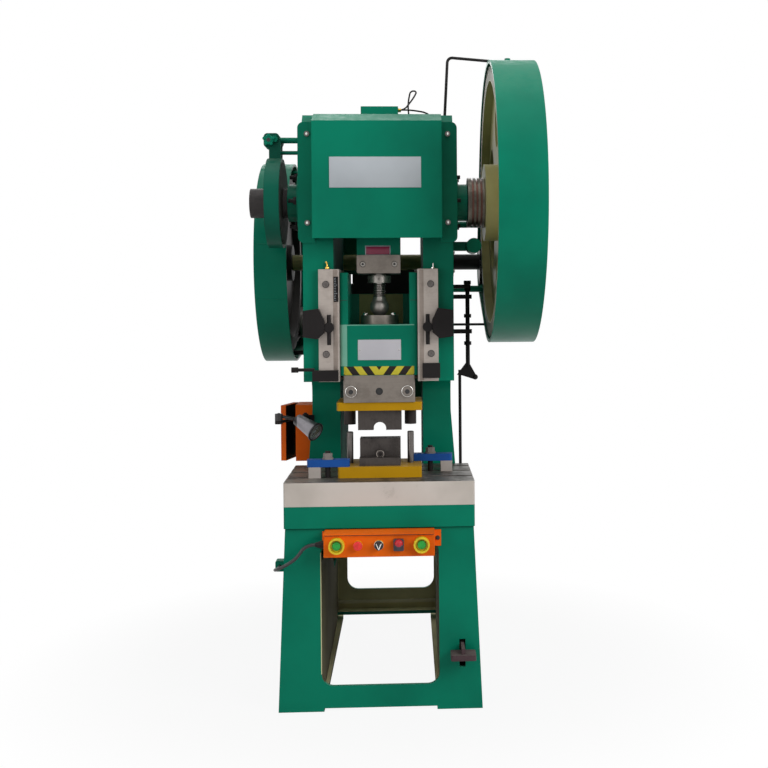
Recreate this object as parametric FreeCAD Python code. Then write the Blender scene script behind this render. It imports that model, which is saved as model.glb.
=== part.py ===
"""Inclinable C-frame stamping press with a back gear, in millimetres.

Origin: on the floor, in the middle of the four anchor holes of the stand.
X runs across the machine (right side +X), Y from front to back, Z up.
The slide is drawn at the top of its stroke and the frame upright.
"""
import FreeCAD
import Part

import math
import os

V = FreeCAD.Vector
X_AXIS = V(1, 0, 0)
Y_AXIS = V(0, 1, 0)
Z_AXIS = V(0, 0, 1)

# ---------------------------------------------------------------- clearances
RUNNING_FIT = 0.05        # radial gap of a shaft in its bush
SLIDE_GAP = 0.3           # gap of flat or curved faces that pass each other
BOLT_GAP = 0.5            # radial gap of a screw in its hole
SIDE_GAP = 1.0            # axial gap beside a turning part

# --------------------------------------------------------------------- stand
STAND_HEIGHT = 538.0
FRAME_LOW = STAND_HEIGHT - 98.0
STAND_TOP_HALF = 277.0
STAND_FLOOR_HALF = 300.0
STAND_FRONT = -490.0
STAND_REAR = 490.0
PLATE = 12.0
FOOT_RELIEF = 10.0
FOOT_INNER = 195.0
WINDOW_HALF = 173.0
WINDOW_LOW = 75.0
WINDOW_HIGH = STAND_HEIGHT - 38.0
WINDOW_RADIUS = 35.0
REAR_TOP = STAND_HEIGHT - 68.0
REAR_LOW = 30.0
REAR_WINDOW_HALF = 164.0
REAR_WINDOW_SHIFT = 15.0
REAR_WINDOW_LOW = 115.0
REAR_WINDOW_HIGH = 400.0
REAR_WINDOW_RADIUS = 42.0
SHOULDER_Y = 260.0
LEG_FRONT = 175.0
LEG_REAR = 185.0
LEG_SHEET = 8.0
LEG_FRONT_TOP = FRAME_LOW - 12.0
LEG_REAR_TOP = FRAME_LOW - 192.0
FLANGE_INNER = 166.0
FLANGE_THICK = 14.0
ANCHOR_X = 255.0
ANCHOR_Y = 430.0
ANCHOR_RADIUS = 11.0
RIB_THICK = 12.0
RIB_REACH = 46.0
RIB_HEIGHT = 300.0
RIB_PLACES = (-200.0, 330.0)

# ------------------------------------------------------------ trunnion, tilt
PIVOT_Y = -30.0
PIVOT_Z = STAND_HEIGHT - 48.0
PIVOT_RADIUS = 25.0
PIVOT_BOSS = 46.0
PIVOT_HEAD = 38.0
PAD_FACE = 286.0
PAD_THICK = 24.0
TILT_MAX = 25.0
TILT_BOLT_REACH = 240.0
TILT_BOLT_RISE = 5.0
TILT_BOLT_RADIUS = 10.0
SLOT_HALF = 11.5
SLOT_SPARE = 3.0

# ------------------------------------------------------------------- C-frame
COLUMN_INNER = 134.0
COLUMN_OUTER = 225.0
FOOT_OUTER = 244.0
TABLE_HALF = 280.0
TABLE_FRONT = -500.0
TABLE_LOW = STAND_HEIGHT + 3.0
TABLE_TOP = TABLE_LOW + 64.0
FLARE_TOP = TABLE_TOP + 245.0
THROAT = -125.0
FRAME_REAR = 350.0
HEAD_FRONT = -420.0
HEAD_LOW = TABLE_TOP + 360.0
HEAD_TOP = HEAD_LOW + 800.0
HEAD_BEVEL = 24.0
HEAD_WEB_INNER = 58.0
HEAD_WEB_Y = 165.0
HEAD_WEB = 16.0
THROAT_RADIUS = 60.0
WEB = 36.0
RIM = 55.0

# ------------------------------------------------------- crank, gear, shafts
CRANK_Y = -315.0
CRANK_Z = HEAD_LOW + 543.0
STROKE = 80.0
THROW = STROKE / 2
JOURNAL = 45.0
PIN_RADIUS = 45.0
CHEEK_INNER = 52.0
CHEEK_THICK = 30.0
CHEEK_RADIUS = THROW + PIN_RADIUS + 4
BEARING_RADIUS = 65.0
CRANK_LEFT = -391.0
CRANK_RIGHT = 436.0
GEAR_SEAT = 40.0
MODULE = 6.0
GEAR_TEETH = 136
PINION_TEETH = 24
GEAR_TIP = MODULE * (GEAR_TEETH + 2) / 2
PINION_TIP = MODULE * (PINION_TEETH + 2) / 2
GEAR_LEFT = 341.0
GEAR_WIDTH = 80.0
GEAR_RIM = 38.0
GEAR_HUB = 118.0
GEAR_HUB_LEFT = GEAR_LEFT - 16.0
GEAR_DISH = 26.0
GEAR_HOLES = 6
GEAR_HOLE = 72.0
CLUTCH_LEFT = 273.0
CLUTCH_RADIUS = 77.0
CENTRES = MODULE * (GEAR_TEETH + PINION_TEETH) / 2
DRIVE_DROP = 166.0
DRIVE_Y = CRANK_Y + math.sqrt(CENTRES ** 2 - DRIVE_DROP ** 2)
DRIVE_Z = CRANK_Z - DRIVE_DROP
DRIVE_RADIUS = 27.0
FLYWHEEL_RADIUS = 300.0
FLYWHEEL_LEFT = -389.0
FLYWHEEL_WIDTH = 80.0
GROOVES = 3
GROOVE_PITCH = 22.0
BELT_WIDTH = 13.0
BELT_DEPTH = 9.0
MOTOR_Y = 530.0
MOTOR_Z = HEAD_LOW + 165.0
PULLEY_RADIUS = 58.0
MOTOR_RADIUS = 100.0
MOTOR_LEFT = -270.0
MOTOR_RIGHT = 30.0
SHAFT_RADIUS = 16.0

# --------------------------------------------------------------------- brake
BRAKE_LEFT = -338.0
BRAKE_WIDTH = 48.0
DRUM_RADIUS = 126.0
BAND_THICK = 11.0
LUG_GAP = 14.0
LUG_THICK = 12.0
LUG_TOP = CRANK_Z + 212.0
LUG_HEAD = 44.0
LUG_BOLT_Z = LUG_TOP - 19.0
STAY_Z = CRANK_Z + DRUM_RADIUS + BAND_THICK + 18.0

# -------------------------------------------------------------------- guards
SHEET = 3.0
GUARD_ROOM = 15.0
GEAR_GUARD_RADIUS = GEAR_TIP + GUARD_ROOM + SHEET
GEAR_GUARD_NOSE = PINION_TIP + GUARD_ROOM + SHEET + 9.0
GEAR_GUARD_LEFT = 337.0
GEAR_GUARD_RIGHT = 473.0
BELT_GUARD_RADIUS = CENTRES - DRUM_RADIUS - BAND_THICK - 3.0
BELT_GUARD_NOSE = PULLEY_RADIUS + 2 * GUARD_ROOM + SHEET + 4.0
BELT_GUARD_LEFT = -400.0
BELT_GUARD_RIGHT = -297.0
STANDOFF_RADIUS = 8.0
GUARD_LIP = 10.0
BELT_GUARD_LIP = 8.0
LOWER_STAY_Y = -120.0

# --------------------------------------------------------------- head cover
COVER_HALF = 190.0
COVER_FLANGE = 238.0
COVER_LOW = HEAD_TOP - 375.0
COVER_HIGH = HEAD_TOP - 32.0
COVER_FRONT = -500.0
COVER_SHEET = 3.0
COVER_CORNER = 18.0

# --------------------------------------------------------------- slide, gibs
SLIDE_HALF = 116.0
SLIDE_FRONT = -420.0
SLIDE_REAR = -210.0
SLIDE_LOW = HEAD_LOW + 18.0
POCKET_FLOOR = SLIDE_LOW + 152.0
CHEEK_TOP = SLIDE_LOW + 308.0
POCKET_HALF = 92.0
BACK_WALL_TOP = SLIDE_LOW + 246.0
BACK_WALL = 15.0
WAY_DEPTH = 8.0
WAY_HALF = 11.0
GIB_LOW = HEAD_LOW + 1.0
GIB_HIGH = GIB_LOW + 335.0
GIB_OUTER = 178.0
GIB_THICK = 20.0
GIB_LEG_REAR = -200.0

# ------------------------------------------------------------ connecting rod
ROD_HALF = 46.0
BIG_END = 75.0
ROD_BLOCK_HALF = 66.0
ROD_BLOCK_TOP = CRANK_Z + THROW - 143.0
CAP_LOW = ROD_BLOCK_TOP - 115.0
CAP_HIGH = CAP_LOW + 55.0
ROD_BLOCK_DEPTH = 60.0
CAP_FRONT_DEPTH = 72.0
SCREW_RADIUS = 21.0
NECK_RADIUS = 17.0
BALL_RADIUS = 29.0
BALL_Z = POCKET_FLOOR + 53.0
NUT_LOW = CAP_LOW - 28.0
NUT_HIGH = NUT_LOW + 22.0
NUT_RADIUS = 35.0
SEAT_RADIUS = 58.0
SEAT_HIGH = POCKET_FLOOR + 28.0
SEAT_GAP = 3.0

# ---------------------------------------------------------- bolster and dies
BOLSTER_THICK = 70.0
BOLSTER_DEPTH = 370.0
BOLSTER_TOP = TABLE_TOP + BOLSTER_THICK
SLOT_THROAT = 18.0
SLOT_THROAT_DEPTH = 20.0
SLOT_HEAD = 32.0
SLOT_HEAD_DEPTH = 14.0
SLOT_PLACES = (-395.0, -286.0, -190.0)
DIE_Y = -329.0
DIE_HALF = 126.0
DIE_DEPTH = 180.0
LOWER_PLATE_TOP = BOLSTER_TOP + 33.0
POST_X = 93.0
POST_RADIUS = 10.0
BUSHING_RADIUS = 18.0
UPPER_PLATE_TOP = SLIDE_LOW - 81.0
UPPER_PLATE_LOW = UPPER_PLATE_TOP - 25.0
BUSHING_LOW = UPPER_PLATE_LOW - 49.0
POST_TOP = BUSHING_LOW - 23.0
UPPER_PLATE_HALF = 128.0
BLADE_HALF = 66.0
BLADE_FRONT = -385.0
BLADE_THICK = 35.0
BLADE_LOW = UPPER_PLATE_LOW - 62.0
NOTCH_HALF = 19.0
NOTCH_TOP = BLADE_LOW + 24.0
BLOCK_HALF = 62.0
STOCK_GAP = 12.0
BLOCK_FRONT = -348.0
BLOCK_REAR = -290.0
BLOCK_TOP = UPPER_PLATE_LOW - STROKE - STOCK_GAP
FOOT_TOP = LOWER_PLATE_TOP + 24.0
BOSS_RADIUS = 12.5
BOSS_Z = NOTCH_TOP - NOTCH_HALF - STROKE
SHANK_HALF = SLIDE_HALF - WAY_DEPTH - SIDE_GAP
SHANK_FRONT = -424.0
SHANK_REAR = -300.0
SHANK_SCREW_X = 84.0
SHANK_SCREW_Z = UPPER_PLATE_TOP + 33.0
CLAMP_LOW = LOWER_PLATE_TOP
CLAMP_THICK = 22.0
CLAMP_WIDTH = 36.0
STUD_RADIUS = 8.0
CLAMPS = (
    # y, outer end, inner end, stud x, riser centre x
    (SLOT_PLACES[0], -219.0, -91.0, -157.0, -196.0),
    (SLOT_PLACES[1], 222.0, 94.0, 154.0, 204.0),
)

# --------------------------------------------------- control box and buttons
BOX_HALF = 160.0
BOX_LOW = STAND_HEIGHT - 69.0
BOX_HIGH = STAND_HEIGHT - 1.0
BOX_FRONT = -560.0
PANEL_Z = STAND_HEIGHT - 34.0
PALM_X = 122.0
PALM_RING = 23.0
PALM_BUTTON = 12.5
STOP_X = -61.0
STOP_RADIUS = 13.0
SELECTOR_X = -1.0
SELECTOR_RADIUS = 14.0
SWITCH_X = 56.0
BUTTON_STEM = 5.0

# -------------------------------------------------------------------- cable
CABLE_RADIUS = 5.0
CABLE_ROUTE = (
    V(-186, -528, PANEL_Z - 4), V(-214, -528, PANEL_Z - 4), V(-240, -530, PANEL_Z - 43),
    V(-270, -530, PANEL_Z - 62), V(-296, -520, PANEL_Z - 76), V(-309, -492, PANEL_Z - 84),
    V(-302, -456, PANEL_Z - 91), V(-302, -414, PANEL_Z - 91),
)

# ------------------------------------------------------------ pedal and rods
PEDAL_Y = 150.0
PEDAL_Z = 186.0
PEDAL_ARM_X = 241.0
PEDAL_ARM_HALF = 5.0
PEDAL_ARM_HIGH = 9.0
PEDAL_END = -548.0
TREADLE_LEFT = 205.0
TREADLE_RIGHT = 278.0
PEDAL_PIN = 8.0
PEDAL_SLOT_LOW = 124.0
PEDAL_SLOT_HIGH = 206.0
ROD_X = 257.0
ROD_Y = -93.0
ROD_RADIUS = 5.0
SPUR_RADIUS = 5.0
SPUR_DRIFT = 1.0
ROD_SPLIT = STAND_HEIGHT - 44.0
ROD_GAP = 3.0
TRIP_X = 284.0
TRIP_RADIUS = 7.0
TRIP_LOW = HEAD_LOW - 7.0
TRIP_HIGH = TRIP_LOW + 314.0
TRIP_GUIDES = (TRIP_LOW + 140.0, TRIP_LOW + 254.0)
TRIP_COLLARS = (TRIP_LOW + 102.0, TRIP_LOW + 192.0, TRIP_HIGH - 12.0)
TRIP_STOP_X = 292.0
TRIP_STOP_Z = CRANK_Z - 133.0
TRIP_STOP_RADIUS = 23.0

# ------------------------------------------------------------ cabinet, lamp
CABINET_LEFT = -282.0
CABINET_FRONT = -100.0
CABINET_REAR = 24.0
CABINET_LOW = TABLE_TOP + 80.0
CABINET_HIGH = TABLE_TOP + 263.0
CABINET_SHEET = 2.5
DOOR_THICK = 17.0
DOOR_AJAR = 14.0
HINGE_X = CABINET_LEFT - 4.0
HINGE_Y = CABINET_REAR + 6.0
HINGE_RADIUS = 3.0
HINGE_BARREL = 5.5
LAMP_Z = TABLE_TOP + 231.0
LAMP_BASE = V(-245, -152, LAMP_Z)
LAMP_KNOB = V(-318, -264, LAMP_Z)
LAMP_TAIL = V(-262, -242, LAMP_Z - 1)
LAMP_RIM = V(-201, -284, LAMP_Z - 37)
LAMP_RADIUS = 28.0


# ------------------------------------------------------------- basic solids
def box(x, y, z):
    """Block between two values along each axis."""
    return Part.makeBox(abs(x[1] - x[0]), abs(y[1] - y[0]), abs(z[1] - z[0]), V(min(x), min(y), min(z)))


def rod_x(x, y, z, radius):
    return Part.makeCylinder(radius, abs(x[1] - x[0]), V(min(x), y, z), X_AXIS)


def rod_y(x, y, z, radius):
    return Part.makeCylinder(radius, abs(y[1] - y[0]), V(x, min(y), z), Y_AXIS)


def rod_z(x, y, z, radius):
    return Part.makeCylinder(radius, abs(z[1] - z[0]), V(x, y, min(z)), Z_AXIS)


def between(start, end, radius, end_radius=None):
    """Rod or cone from one point to another."""
    run = end - start
    if end_radius is None:
        return Part.makeCylinder(radius, run.Length, start, run)
    return Part.makeCone(radius, end_radius, run.Length, start, run)


def face_of(points):
    return Part.Face(Part.makePolygon(points + [points[0]]))


def prism_x(points, x):
    """Outline of (y, z) points, drawn along X."""
    return face_of([V(min(x), y, z) for y, z in points]).extrude(V(abs(x[1] - x[0]), 0, 0))


def prism_y(points, y):
    """Outline of (x, z) points, drawn along Y."""
    return face_of([V(px, min(y), z) for px, z in points]).extrude(V(0, abs(y[1] - y[0]), 0))


def prism_z(points, z):
    """Outline of (x, y) points, drawn along Z."""
    return face_of([V(px, py, min(z)) for px, py in points]).extrude(V(0, 0, abs(z[1] - z[0])))


def round_edges(shape, radius, direction, test=None):
    """Fillet the straight edges that run along a direction."""
    chosen = []
    for edge in shape.Edges:
        if len(edge.Vertexes) != 2 or not isinstance(edge.Curve, Part.Line):
            continue
        run = edge.Vertexes[1].Point - edge.Vertexes[0].Point
        if abs(run.normalize().dot(direction)) < 0.999:
            continue
        if test is None or test(edge.CenterOfMass):
            chosen.append(edge)
    return shape.makeFillet(radius, chosen)


def mirror_x(shape):
    return shape.mirror(V(0, 0, 0), X_AXIS)


def both_sides(shape):
    return [shape, mirror_x(shape)]


def hexagon(centre, across, length, direction):
    """Hexagonal nut or head that starts at a point."""
    corner = across / math.sqrt(3)
    turn = FreeCAD.Rotation(Z_AXIS, direction)
    points = []
    for step in range(6):
        angle = math.radians(60 * step)
        points.append(centre + turn.multVec(V(corner * math.cos(angle), corner * math.sin(angle), 0)))
    return face_of(points).extrude(direction * length)


def two_wheel_outline(x, first, first_radius, second, second_radius):
    """Outline of a band drawn tight round two circles in the YZ plane."""
    run = V(0, second[0] - first[0], second[1] - first[1])
    heading = math.atan2(run.z, run.y)
    wrap = math.acos((first_radius - second_radius) / run.Length)

    def on(circle, radius, angle):
        return V(x, circle[0] + radius * math.cos(angle), circle[1] + radius * math.sin(angle))

    top, low = heading + wrap, heading - wrap
    far = Part.Arc(on(first, first_radius, top), on(first, first_radius, heading + math.pi),
                   on(first, first_radius, low + 2 * math.pi)).toShape()
    near = Part.Arc(on(second, second_radius, low), on(second, second_radius, heading),
                    on(second, second_radius, top)).toShape()
    lower = Part.makeLine(on(first, first_radius, low), on(second, second_radius, low))
    upper = Part.makeLine(on(second, second_radius, top), on(first, first_radius, top))
    return Part.Wire([far, lower, near, upper])


def two_wheel_plate(x, first, first_radius, second, second_radius):
    outline = two_wheel_outline(min(x), first, first_radius, second, second_radius)
    return Part.Face(outline).extrude(V(abs(x[1] - x[0]), 0, 0))


def save(name, *solids):
    shape = solids[0] if len(solids) == 1 else Part.makeCompound(list(solids))
    shape.exportStep("parts/" + name + ".step")


# ------------------------------------------------------------------- stand
def wall_half(z):
    """Outer half width of the stand at a height."""
    return STAND_FLOOR_HALF - (STAND_FLOOR_HALF - STAND_TOP_HALF) * z / STAND_HEIGHT


def end_panel(y, low, high, window, radius, shift=0.0):
    panel = prism_y([(-wall_half(low), low), (wall_half(low), low),
                     (wall_half(high), high), (-wall_half(high), high)], y)
    hole = box((shift - window[0], shift + window[0]), (min(y) - 1, max(y) + 1), (window[1], window[2]))
    return panel.cut(round_edges(hole, radius, Y_AXIS))


def side_wall():
    """Right side wall, leaning in towards the top, its top edge falling to the rear."""
    inner_low, inner_high = wall_half(0) - PLATE, wall_half(STAND_HEIGHT) - PLATE
    wall = prism_y([(inner_low, 0), (wall_half(0), 0), (wall_half(STAND_HEIGHT), STAND_HEIGHT),
                    (inner_high, STAND_HEIGHT)], (STAND_FRONT, STAND_REAR))
    corner = prism_x([(SHOULDER_Y, STAND_HEIGHT), (STAND_REAR + 1, REAR_TOP),
                      (STAND_REAR + 1, STAND_HEIGHT + 1), (SHOULDER_Y, STAND_HEIGHT + 1)],
                     (inner_high - 1, wall_half(0) + 1))
    return wall.cut(corner)


def floor_flange():
    flange = box((FLANGE_INNER, wall_half(0) - PLATE / 2), (STAND_FRONT, STAND_REAR), (0, FLANGE_THICK))
    for y in (-ANCHOR_Y, ANCHOR_Y):
        flange = flange.cut(rod_z(ANCHOR_X, y, (-1, FLANGE_THICK + 1), ANCHOR_RADIUS))
    return flange


def leg_wall():
    """Inner wall of the right leg, its top edge clear of the tilting frame."""
    front, rear = STAND_FRONT + PLATE / 2, STAND_REAR - PLATE / 2
    wall = prism_z([(LEG_FRONT, front), (LEG_FRONT + LEG_SHEET, front),
                    (LEG_REAR + LEG_SHEET, rear), (LEG_REAR, rear)], (0, LEG_FRONT_TOP))
    above = prism_x([(front - 1, LEG_FRONT_TOP), (PIVOT_Y, LEG_FRONT_TOP), (SHOULDER_Y, LEG_REAR_TOP),
                     (rear + 1, LEG_REAR_TOP), (rear + 1, LEG_FRONT_TOP + 1), (front - 1, LEG_FRONT_TOP + 1)],
                    (FLANGE_INNER, LEG_REAR + LEG_SHEET + 1))
    return wall.cut(above)


def side_rib(y):
    root = wall_half(0) - PLATE / 2
    tip = wall_half(RIB_HEIGHT) - PLATE
    return prism_y([(root - PLATE - RIB_REACH, FLANGE_THICK / 2), (root, FLANGE_THICK / 2),
                    (tip + PLATE / 2, RIB_HEIGHT), (tip - PLATE / 2, RIB_HEIGHT)],
                   (y - RIB_THICK / 2, y + RIB_THICK / 2))


def arc_band(x, half, spare):
    """Part of a ring about the trunnion that the tilt bolt sweeps."""
    reach = math.hypot(TILT_BOLT_REACH, TILT_BOLT_RISE)
    rest = math.atan2(TILT_BOLT_RISE, TILT_BOLT_REACH)
    first, last = rest + math.radians(spare), rest - math.radians(TILT_MAX + spare)

    def at(radius, angle):
        return V(min(x), PIVOT_Y + radius * math.cos(angle), PIVOT_Z + radius * math.sin(angle))

    middle = (first + last) / 2
    outer = Part.Arc(at(reach + half, first), at(reach + half, middle), at(reach + half, last)).toShape()
    inner = Part.Arc(at(reach - half, last), at(reach - half, middle), at(reach - half, first)).toShape()
    ends = [Part.makeLine(at(reach + half, last), at(reach - half, last)),
            Part.makeLine(at(reach - half, first), at(reach + half, first))]
    return Part.Face(Part.Wire([outer, ends[0], inner, ends[1]])).extrude(V(abs(x[1] - x[0]), 0, 0))


def base_stand():
    stand = end_panel((STAND_FRONT, STAND_FRONT + PLATE), 0, STAND_HEIGHT,
                      (WINDOW_HALF, WINDOW_LOW, WINDOW_HIGH), WINDOW_RADIUS)
    slope = 1.5 * FOOT_RELIEF
    relief = prism_y([(-FOOT_INNER - slope, -1), (-FOOT_INNER + slope, FOOT_RELIEF),
                      (FOOT_INNER - slope, FOOT_RELIEF), (FOOT_INNER + slope, -1)],
                     (STAND_FRONT - 1, STAND_FRONT + PLATE + 1))
    stand = stand.cut(relief)
    rear = end_panel((STAND_REAR - PLATE, STAND_REAR), REAR_LOW, REAR_TOP,
                     (REAR_WINDOW_HALF, REAR_WINDOW_LOW, REAR_WINDOW_HIGH), REAR_WINDOW_RADIUS,
                     REAR_WINDOW_SHIFT)
    lip = box((-wall_half(0) + PLATE, wall_half(0) - PLATE), (STAND_REAR - PLATE - RIB_REACH, STAND_REAR),
              (REAR_LOW, REAR_LOW + PLATE))
    stand = stand.fuse([rear, lip])
    side = side_wall()
    pad = [rod_x((PAD_FACE - PAD_THICK, PAD_FACE), PIVOT_Y, PIVOT_Z, PIVOT_BOSS),
           arc_band((PAD_FACE - PAD_THICK, PAD_FACE), SLOT_HALF + PLATE, SLOT_SPARE + 4)]
    side = side.fuse(pad + [floor_flange(), leg_wall()] + [side_rib(y) for y in RIB_PLACES])
    through = (COLUMN_OUTER, PAD_FACE + 1)
    side = side.cut(rod_x(through, PIVOT_Y, PIVOT_Z, PIVOT_RADIUS))
    side = side.cut(arc_band(through, SLOT_HALF, SLOT_SPARE))
    stand = stand.fuse(both_sides(side))
    ear = box((PEDAL_ARM_X + 12, wall_half(PEDAL_Z) - PLATE / 2), (PEDAL_Y - 22, PEDAL_Y + 22),
              (PEDAL_Z - 22, PEDAL_Z + 22))
    ear = ear.cut(rod_x((PEDAL_ARM_X, STAND_FLOOR_HALF), PEDAL_Y, PEDAL_Z, PEDAL_PIN))
    stand = stand.fuse(ear).cut(rod_x((PEDAL_ARM_X, wall_half(PEDAL_Z) - PLATE), PEDAL_Y, PEDAL_Z, PEDAL_PIN))
    slot = box((PEDAL_ARM_X - PEDAL_ARM_HALF - 4, PEDAL_ARM_X + PEDAL_ARM_HALF + 4),
               (STAND_FRONT - 1, STAND_FRONT + PLATE + 1), (PEDAL_SLOT_LOW, PEDAL_SLOT_HIGH))
    return stand.cut(slot).removeSplitter()


def pivot_pins():
    """Two trunnion pins with round heads outside the stand, and the pedal's pin."""
    trunnion = rod_x((COLUMN_OUTER - WEB, PAD_FACE), PIVOT_Y, PIVOT_Z, PIVOT_RADIUS)
    head = rod_x((PAD_FACE, PAD_FACE + 14), PIVOT_Y, PIVOT_Z, PIVOT_HEAD)
    pin = trunnion.fuse(head)
    pedal = rod_x((PEDAL_ARM_X - PEDAL_ARM_HALF - 14, wall_half(PEDAL_Z) - PLATE), PEDAL_Y, PEDAL_Z, PEDAL_PIN)
    collar = rod_x((PEDAL_ARM_X - PEDAL_ARM_HALF - 14, PEDAL_ARM_X - PEDAL_ARM_HALF - SIDE_GAP),
                   PEDAL_Y, PEDAL_Z, PEDAL_PIN + 5)
    return both_sides(pin) + [pedal.fuse(collar)]


# ----------------------------------------------------------------- C-frame
def frame_profile():
    return [(TABLE_FRONT + 30, TABLE_LOW), (TABLE_FRONT + 60, FRAME_LOW + 40), (THROAT, FRAME_LOW),
            (FRAME_REAR, FRAME_LOW), (FRAME_REAR, DRIVE_Z - 125), (FRAME_REAR - 90, DRIVE_Z - 35),
            (FRAME_REAR - 90, DRIVE_Z + 95), (DRIVE_Y - 9, HEAD_TOP), (HEAD_FRONT + HEAD_BEVEL, HEAD_TOP),
            (HEAD_FRONT, HEAD_TOP - HEAD_BEVEL),
            (HEAD_FRONT, HEAD_LOW), (THROAT, HEAD_LOW), (THROAT, TABLE_TOP), (TABLE_FRONT + 30, TABLE_TOP)]


def pocket(y, z, radius):
    """Recess in the outer face of an upright that leaves its web and rim."""
    block = box((COLUMN_INNER + WEB, FOOT_OUTER + 10), y, z)
    return round_edges(block, radius, X_AXIS)


def upright():
    """Right upright: web, rim, bosses and flared foot."""
    body = prism_x(frame_profile(), (COLUMN_INNER, FOOT_OUTER))
    body = round_edges(body, THROAT_RADIUS, X_AXIS,
                       lambda c: abs(c.y - THROAT) < 1 and abs(c.z - HEAD_LOW) < 1)
    trim = prism_y([(COLUMN_OUTER, FLARE_TOP), (COLUMN_OUTER, HEAD_TOP + 1), (FOOT_OUTER + 1, HEAD_TOP + 1),
                    (FOOT_OUTER + 1, TABLE_TOP), (FOOT_OUTER, TABLE_TOP)],
                   (TABLE_FRONT - 1, FRAME_REAR + 1))
    body = body.cut(trim)
    body = body.cut(pocket((THROAT + RIM + 10, FRAME_REAR - RIM), (TABLE_TOP + 30, HEAD_LOW - 60), 40))
    body = body.cut(pocket((THROAT + RIM + 10, FRAME_REAR - RIM), (HEAD_LOW - 10, DRIVE_Z - 125), 40))
    body = body.cut(pocket((HEAD_FRONT + RIM, THROAT - 10), (HEAD_LOW + RIM, CRANK_Z - 130), 30))
    body = body.cut(rod_x((COLUMN_INNER - 1, FOOT_OUTER), CRANK_Y, CRANK_Z, BEARING_RADIUS - 8))
    body = body.cut(rod_x((COLUMN_INNER - 1, FOOT_OUTER), DRIVE_Y, DRIVE_Z, DRIVE_RADIUS + 10))
    body = body.cut(rod_x((COLUMN_OUTER - WEB - 2, FOOT_OUTER + 1), PIVOT_Y, PIVOT_Z, PIVOT_RADIUS + RUNNING_FIT))
    tilt_y, tilt_z = PIVOT_Y + TILT_BOLT_REACH, PIVOT_Z + TILT_BOLT_RISE
    return body.cut(rod_x((COLUMN_OUTER - WEB, FOOT_OUTER + 1), tilt_y, tilt_z, TILT_BOLT_RADIUS))


def c_frame():
    sides = both_sides(upright())
    bed = box((-TABLE_HALF, TABLE_HALF), (TABLE_FRONT, THROAT), (TABLE_LOW, TABLE_TOP))
    bed = round_edges(bed, 6, Z_AXIS)
    inner = (-COLUMN_INNER, COLUMN_INNER)
    ties = [box(inner, (THROAT - 30, FRAME_REAR - RIM), (TABLE_LOW, TABLE_LOW + 34)),
            box(inner, (THROAT - 30, THROAT), (FRAME_LOW + 20, TABLE_LOW)),
            box(inner, (FRAME_REAR - WEB, FRAME_REAR), (HEAD_LOW - 130, HEAD_LOW - 5)),
            prism_x([(HEAD_FRONT, HEAD_TOP - 40), (HEAD_FRONT, HEAD_TOP - HEAD_BEVEL),
                     (HEAD_FRONT + HEAD_BEVEL, HEAD_TOP), (DRIVE_Y - 30, HEAD_TOP),
                     (DRIVE_Y - 30, HEAD_TOP - 40)], inner),
            box((-COLUMN_INNER, -HEAD_WEB_INNER), (HEAD_WEB_Y, HEAD_WEB_Y + HEAD_WEB),
                (DRIVE_Z - 40, DRIVE_Z + 190))]
    return sides[0].fuse([sides[1], bed] + ties).removeSplitter()


def tilt_bolts():
    y, z = PIVOT_Y + TILT_BOLT_REACH, PIVOT_Z + TILT_BOLT_RISE
    face = PAD_FACE + SLIDE_GAP
    shank = rod_x((COLUMN_OUTER - WEB, face + 4), y, z, TILT_BOLT_RADIUS)
    washer = rod_x((face, face + 4), y, z, 20)
    head = hexagon(V(face + 4, y, z), 30, 10, X_AXIS)
    return both_sides(shank.fuse([washer, head]))


def bolster():
    plate = box((-TABLE_HALF, TABLE_HALF), (TABLE_FRONT, TABLE_FRONT + BOLSTER_DEPTH), (TABLE_TOP, BOLSTER_TOP))
    plate = round_edges(plate, 5, Z_AXIS)
    reach = (-TABLE_HALF - 1, TABLE_HALF + 1)
    for y in SLOT_PLACES:
        plate = plate.cut(box(reach, (y - SLOT_THROAT / 2, y + SLOT_THROAT / 2),
                              (BOLSTER_TOP - SLOT_THROAT_DEPTH - 1, BOLSTER_TOP + 1)))
        plate = plate.cut(box(reach, (y - SLOT_HEAD / 2, y + SLOT_HEAD / 2),
                              (BOLSTER_TOP - SLOT_THROAT_DEPTH - SLOT_HEAD_DEPTH,
                               BOLSTER_TOP - SLOT_THROAT_DEPTH)))
    return plate


# --------------------------------------------------------------- slide, gibs
def way(tip, z):
    """Vee of a slide way, its tip at a given X."""
    spread = WAY_HALF / WAY_DEPTH * (COLUMN_INNER - tip)
    return prism_z([(tip, CRANK_Y), (COLUMN_INNER, CRANK_Y - spread), (COLUMN_INNER, CRANK_Y + spread)], z)


def gib():
    """Right gib: plate on the head's front face, leg beside the slide, vee way."""
    face, tip = SLIDE_HALF + SLIDE_GAP, SLIDE_HALF + SLIDE_GAP - WAY_DEPTH
    height = (GIB_LOW, GIB_HIGH)
    plate = box((face, GIB_OUTER), (HEAD_FRONT - GIB_THICK, HEAD_FRONT), height)
    leg = box((face, COLUMN_INNER), (HEAD_FRONT, GIB_LEG_REAR), height)
    vee = way(tip, height).common(box((tip - 1, COLUMN_INNER), (HEAD_FRONT, GIB_LEG_REAR), height))
    return plate.fuse([leg, vee]).removeSplitter()


def gib_screws():
    screws = []
    for side in (-1, 1):
        for z in (GIB_HIGH - 45, GIB_LOW + 82):
            x = side * (COLUMN_INNER + GIB_OUTER) / 2
            head = rod_y(x, (HEAD_FRONT - GIB_THICK - 6, HEAD_FRONT - GIB_THICK), z, 9)
            socket = hexagon(V(x, HEAD_FRONT - GIB_THICK - 7, z), 8, 5, Y_AXIS)
            screws.append(head.cut(socket))
    return screws


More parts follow.
